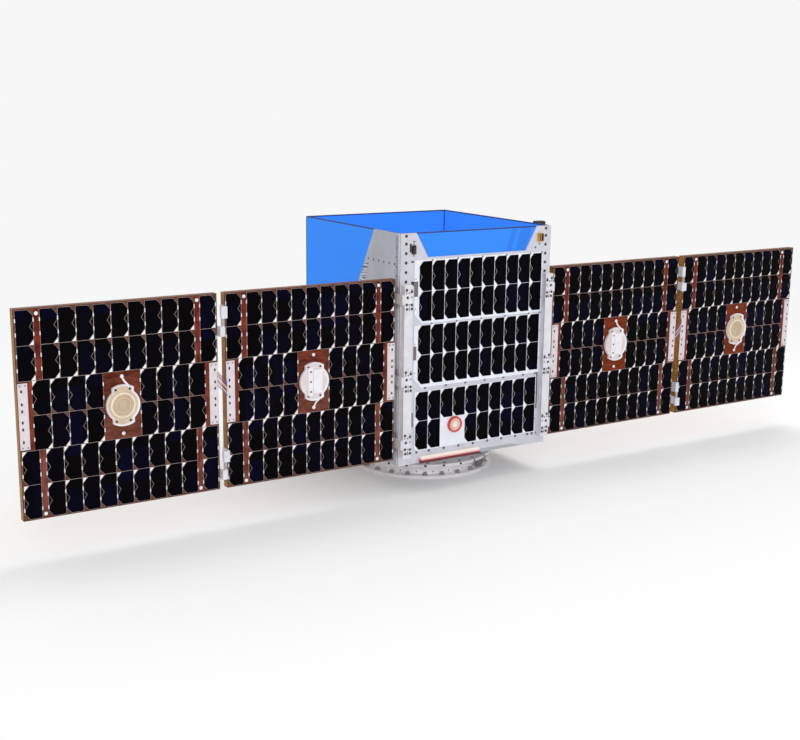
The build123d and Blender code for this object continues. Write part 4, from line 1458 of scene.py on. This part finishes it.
# %% Coil springs on the mid hinges
COIL = plain_paint("bright spring", "hinge_metal", (206, 196, 198), (150, 138, 142), (236, 228, 230), 0.35, 0.3, 300)
spring_radius, spring_wire, spring_turns, spring_steps = 3.8, 0.9, 9, 14
spring_feet, spring_tall, half_gap = (53.7, 413.7), 17.6, 9.75
mid_axis_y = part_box("left_mid_leaves_inner")[0].y / mm + 6.0
for side, sign in SIDES.items():
    low, high = box_mm(f"{side}_outer_panel")
    axis_x = (high.x if sign < 0 else low.x) - sign * half_gap
    count = spring_turns * spring_steps
    coils = []
    for foot in spring_feet:
        coil = []
        for step in range(count + 1):
            angle = 2 * pi * step / spring_steps
            rise = panel_low.z / mm + foot + spring_tall * step / count
            coil.append((axis_x + spring_radius * cos(angle), mid_axis_y + spring_radius * sin(angle), rise))
        coils.append(tube(coil, spring_wire, 6))
    add_piece(f"{side}_hinge_springs", gather(coils, "springs", 50), COIL, f"{side}_inner_wing")
print("mid hinge axis at", round(axis_x, 1), round(mid_axis_y, 1))

# %% [markdown]
# ## Straps and wires
#
# A white strap grounds each cup to a pad on the copper sheet. Across each mid hinge a few coloured wires carry
# the current. On the real wing they are fixed at both ends and bend with the hinge. Here each is a tube from the
# edge of one panel to the edge of the other, bowed out in front of them, and it is fixed to neither wing.

# %% Ground straps of the cups
strap_ends = {"left_outer": 1, "left_inner": -1, "right_inner": 1, "right_outer": -1}
for wing, end in strap_ends.items():
    low, high = box_mm(f"{wing}_cup")
    x, z = (low.x + high.x) / 2, (low.z + high.z) / 2
    seat = high.y
    route = [(0, -1.7, 68), (1.5, -2.2, 64), (6, -1.6, 56), (10.5, -4.5, 50.5), (12.5, -8.4, 47), (14, -8.3, 43)]
    line = [(x + across, seat + proud, z + end * up) for across, proud, up in route]
    lug = lathe([(4.4, 0.6), (4.4, 2.0), (3.6, 2.5), (0, 2.5)], 20)
    shapes = [tube(line, 2.3, 10, 0.4), stand(lug, (x, seat, z + end * 69))]
    add_piece(f"{wing}_ground_strap", gather(shapes, "strap", 50), WHITE, f"{wing}_wing")

# %% Wires across the mid hinges
WIRES = {
    colour: plain_paint(f"{colour} wire", "connector_black", *shades, 0.45, 0.0, 200)
    for colour, *shades in (
        ("red", (150, 60, 56), (120, 40, 38), (178, 88, 80)),
        ("blue", (92, 84, 140), (72, 64, 116), (118, 112, 168)),
        ("white", (230, 218, 220), (206, 192, 196), (244, 236, 238)),
        ("tan", (168, 124, 80), (140, 98, 60), (192, 150, 106)),
    )
}
wire_rows = [("blue", 0), ("white", 5), ("red", 9), ("tan", 14), ("white", 18), ("red", 23), ("blue", 28), ("red", 33)]
wire_radius, wire_foot, wire_rise = 1.1, 340.0, 28.0
wire_inset, wire_proud, wire_bow, wire_steps = 2.5, 3.4, 3.2, 16
for side, sign in SIDES.items():
    inner_low, inner_high = box_mm(f"{side}_inner_panel")
    outer_low, outer_high = box_mm(f"{side}_outer_panel")
    near, far = (inner_high.x, outer_low.x) if sign > 0 else (inner_low.x, outer_high.x)
    for colour, finish in WIRES.items():
        lines = []
        for up in (up for name, up in wire_rows if name == colour):
            line = []
            for step in range(wire_steps + 1):
                share = step / wire_steps
                x = near - sign * wire_inset + (far - near + sign * 2 * wire_inset) * share
                y = inner_low.y - wire_proud - wire_bow * sin(pi * share)
                line.append((x, y, wire_foot + up + wire_rise * share))
            lines.append(tube(line, wire_radius, 7))
        piece = add_piece(f"{side}_{colour}_wires", gather(lines, "wires", 50), finish, None)
        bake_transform(piece)
print("wires over each mid hinge:", len(wire_rows))

# %% [markdown]
# ## Panel edges and backs
#
# The gold tape on the panels' end faces has a comb of small dark pads near the root. On the back, potted
# inserts show through the film as small discs, and a flat tape covers the wires that run along the wing.

# %% Comb pads, inserts and tape
AMBER = plain_paint("amber tape", "panel_film", (176, 112, 26), (138, 80, 12), (214, 150, 48), 0.3, 0.2, 60)
insert_across, insert_down = (61, 183, 305, 427), (40, 140, 352, 452)
for wing in WINGS:
    body = f"{wing}_wing"
    low, high = box_mm(f"{wing}_panel")
    spots = [((low.x + across, high.y, high.z - down), BACK, 7) for across in insert_across for down in insert_down]
    repeat(f"{wing}_inserts", HOLE_UNIT, [facing(*place) for place in spots], AMBER, body)
    tape = prism(rectangle(high.x - low.x - 6, 18), 0.8, 0.3)
    stand(spin(tape, pi, "Z"), ((low.x + high.x) / 2, high.y, (low.z + high.z) / 2))
    add_piece(f"{wing}_back_tape", as_mesh(tape, "tape"), AMBER, body)
comb = as_mesh(prism(rectangle(4.2, 4.6), 0.25, 0.1), "comb pad")
for side, sign in SIDES.items():
    low, high = box_mm(f"{side}_inner_panel")
    edge, turn = (low.x, LEFT) if sign > 0 else (high.x, RIGHT)
    pads = [(low.y + across, high.z - 8 - 7.5 * row) for row in range(7) for across in (5.5, 14.5)]
    spots = [spot(edge * mm, y * mm, z * mm, turn) for y, z in pads]
    repeat(f"{side}_comb_pads", comb, spots, DARK, f"{side}_inner_wing")
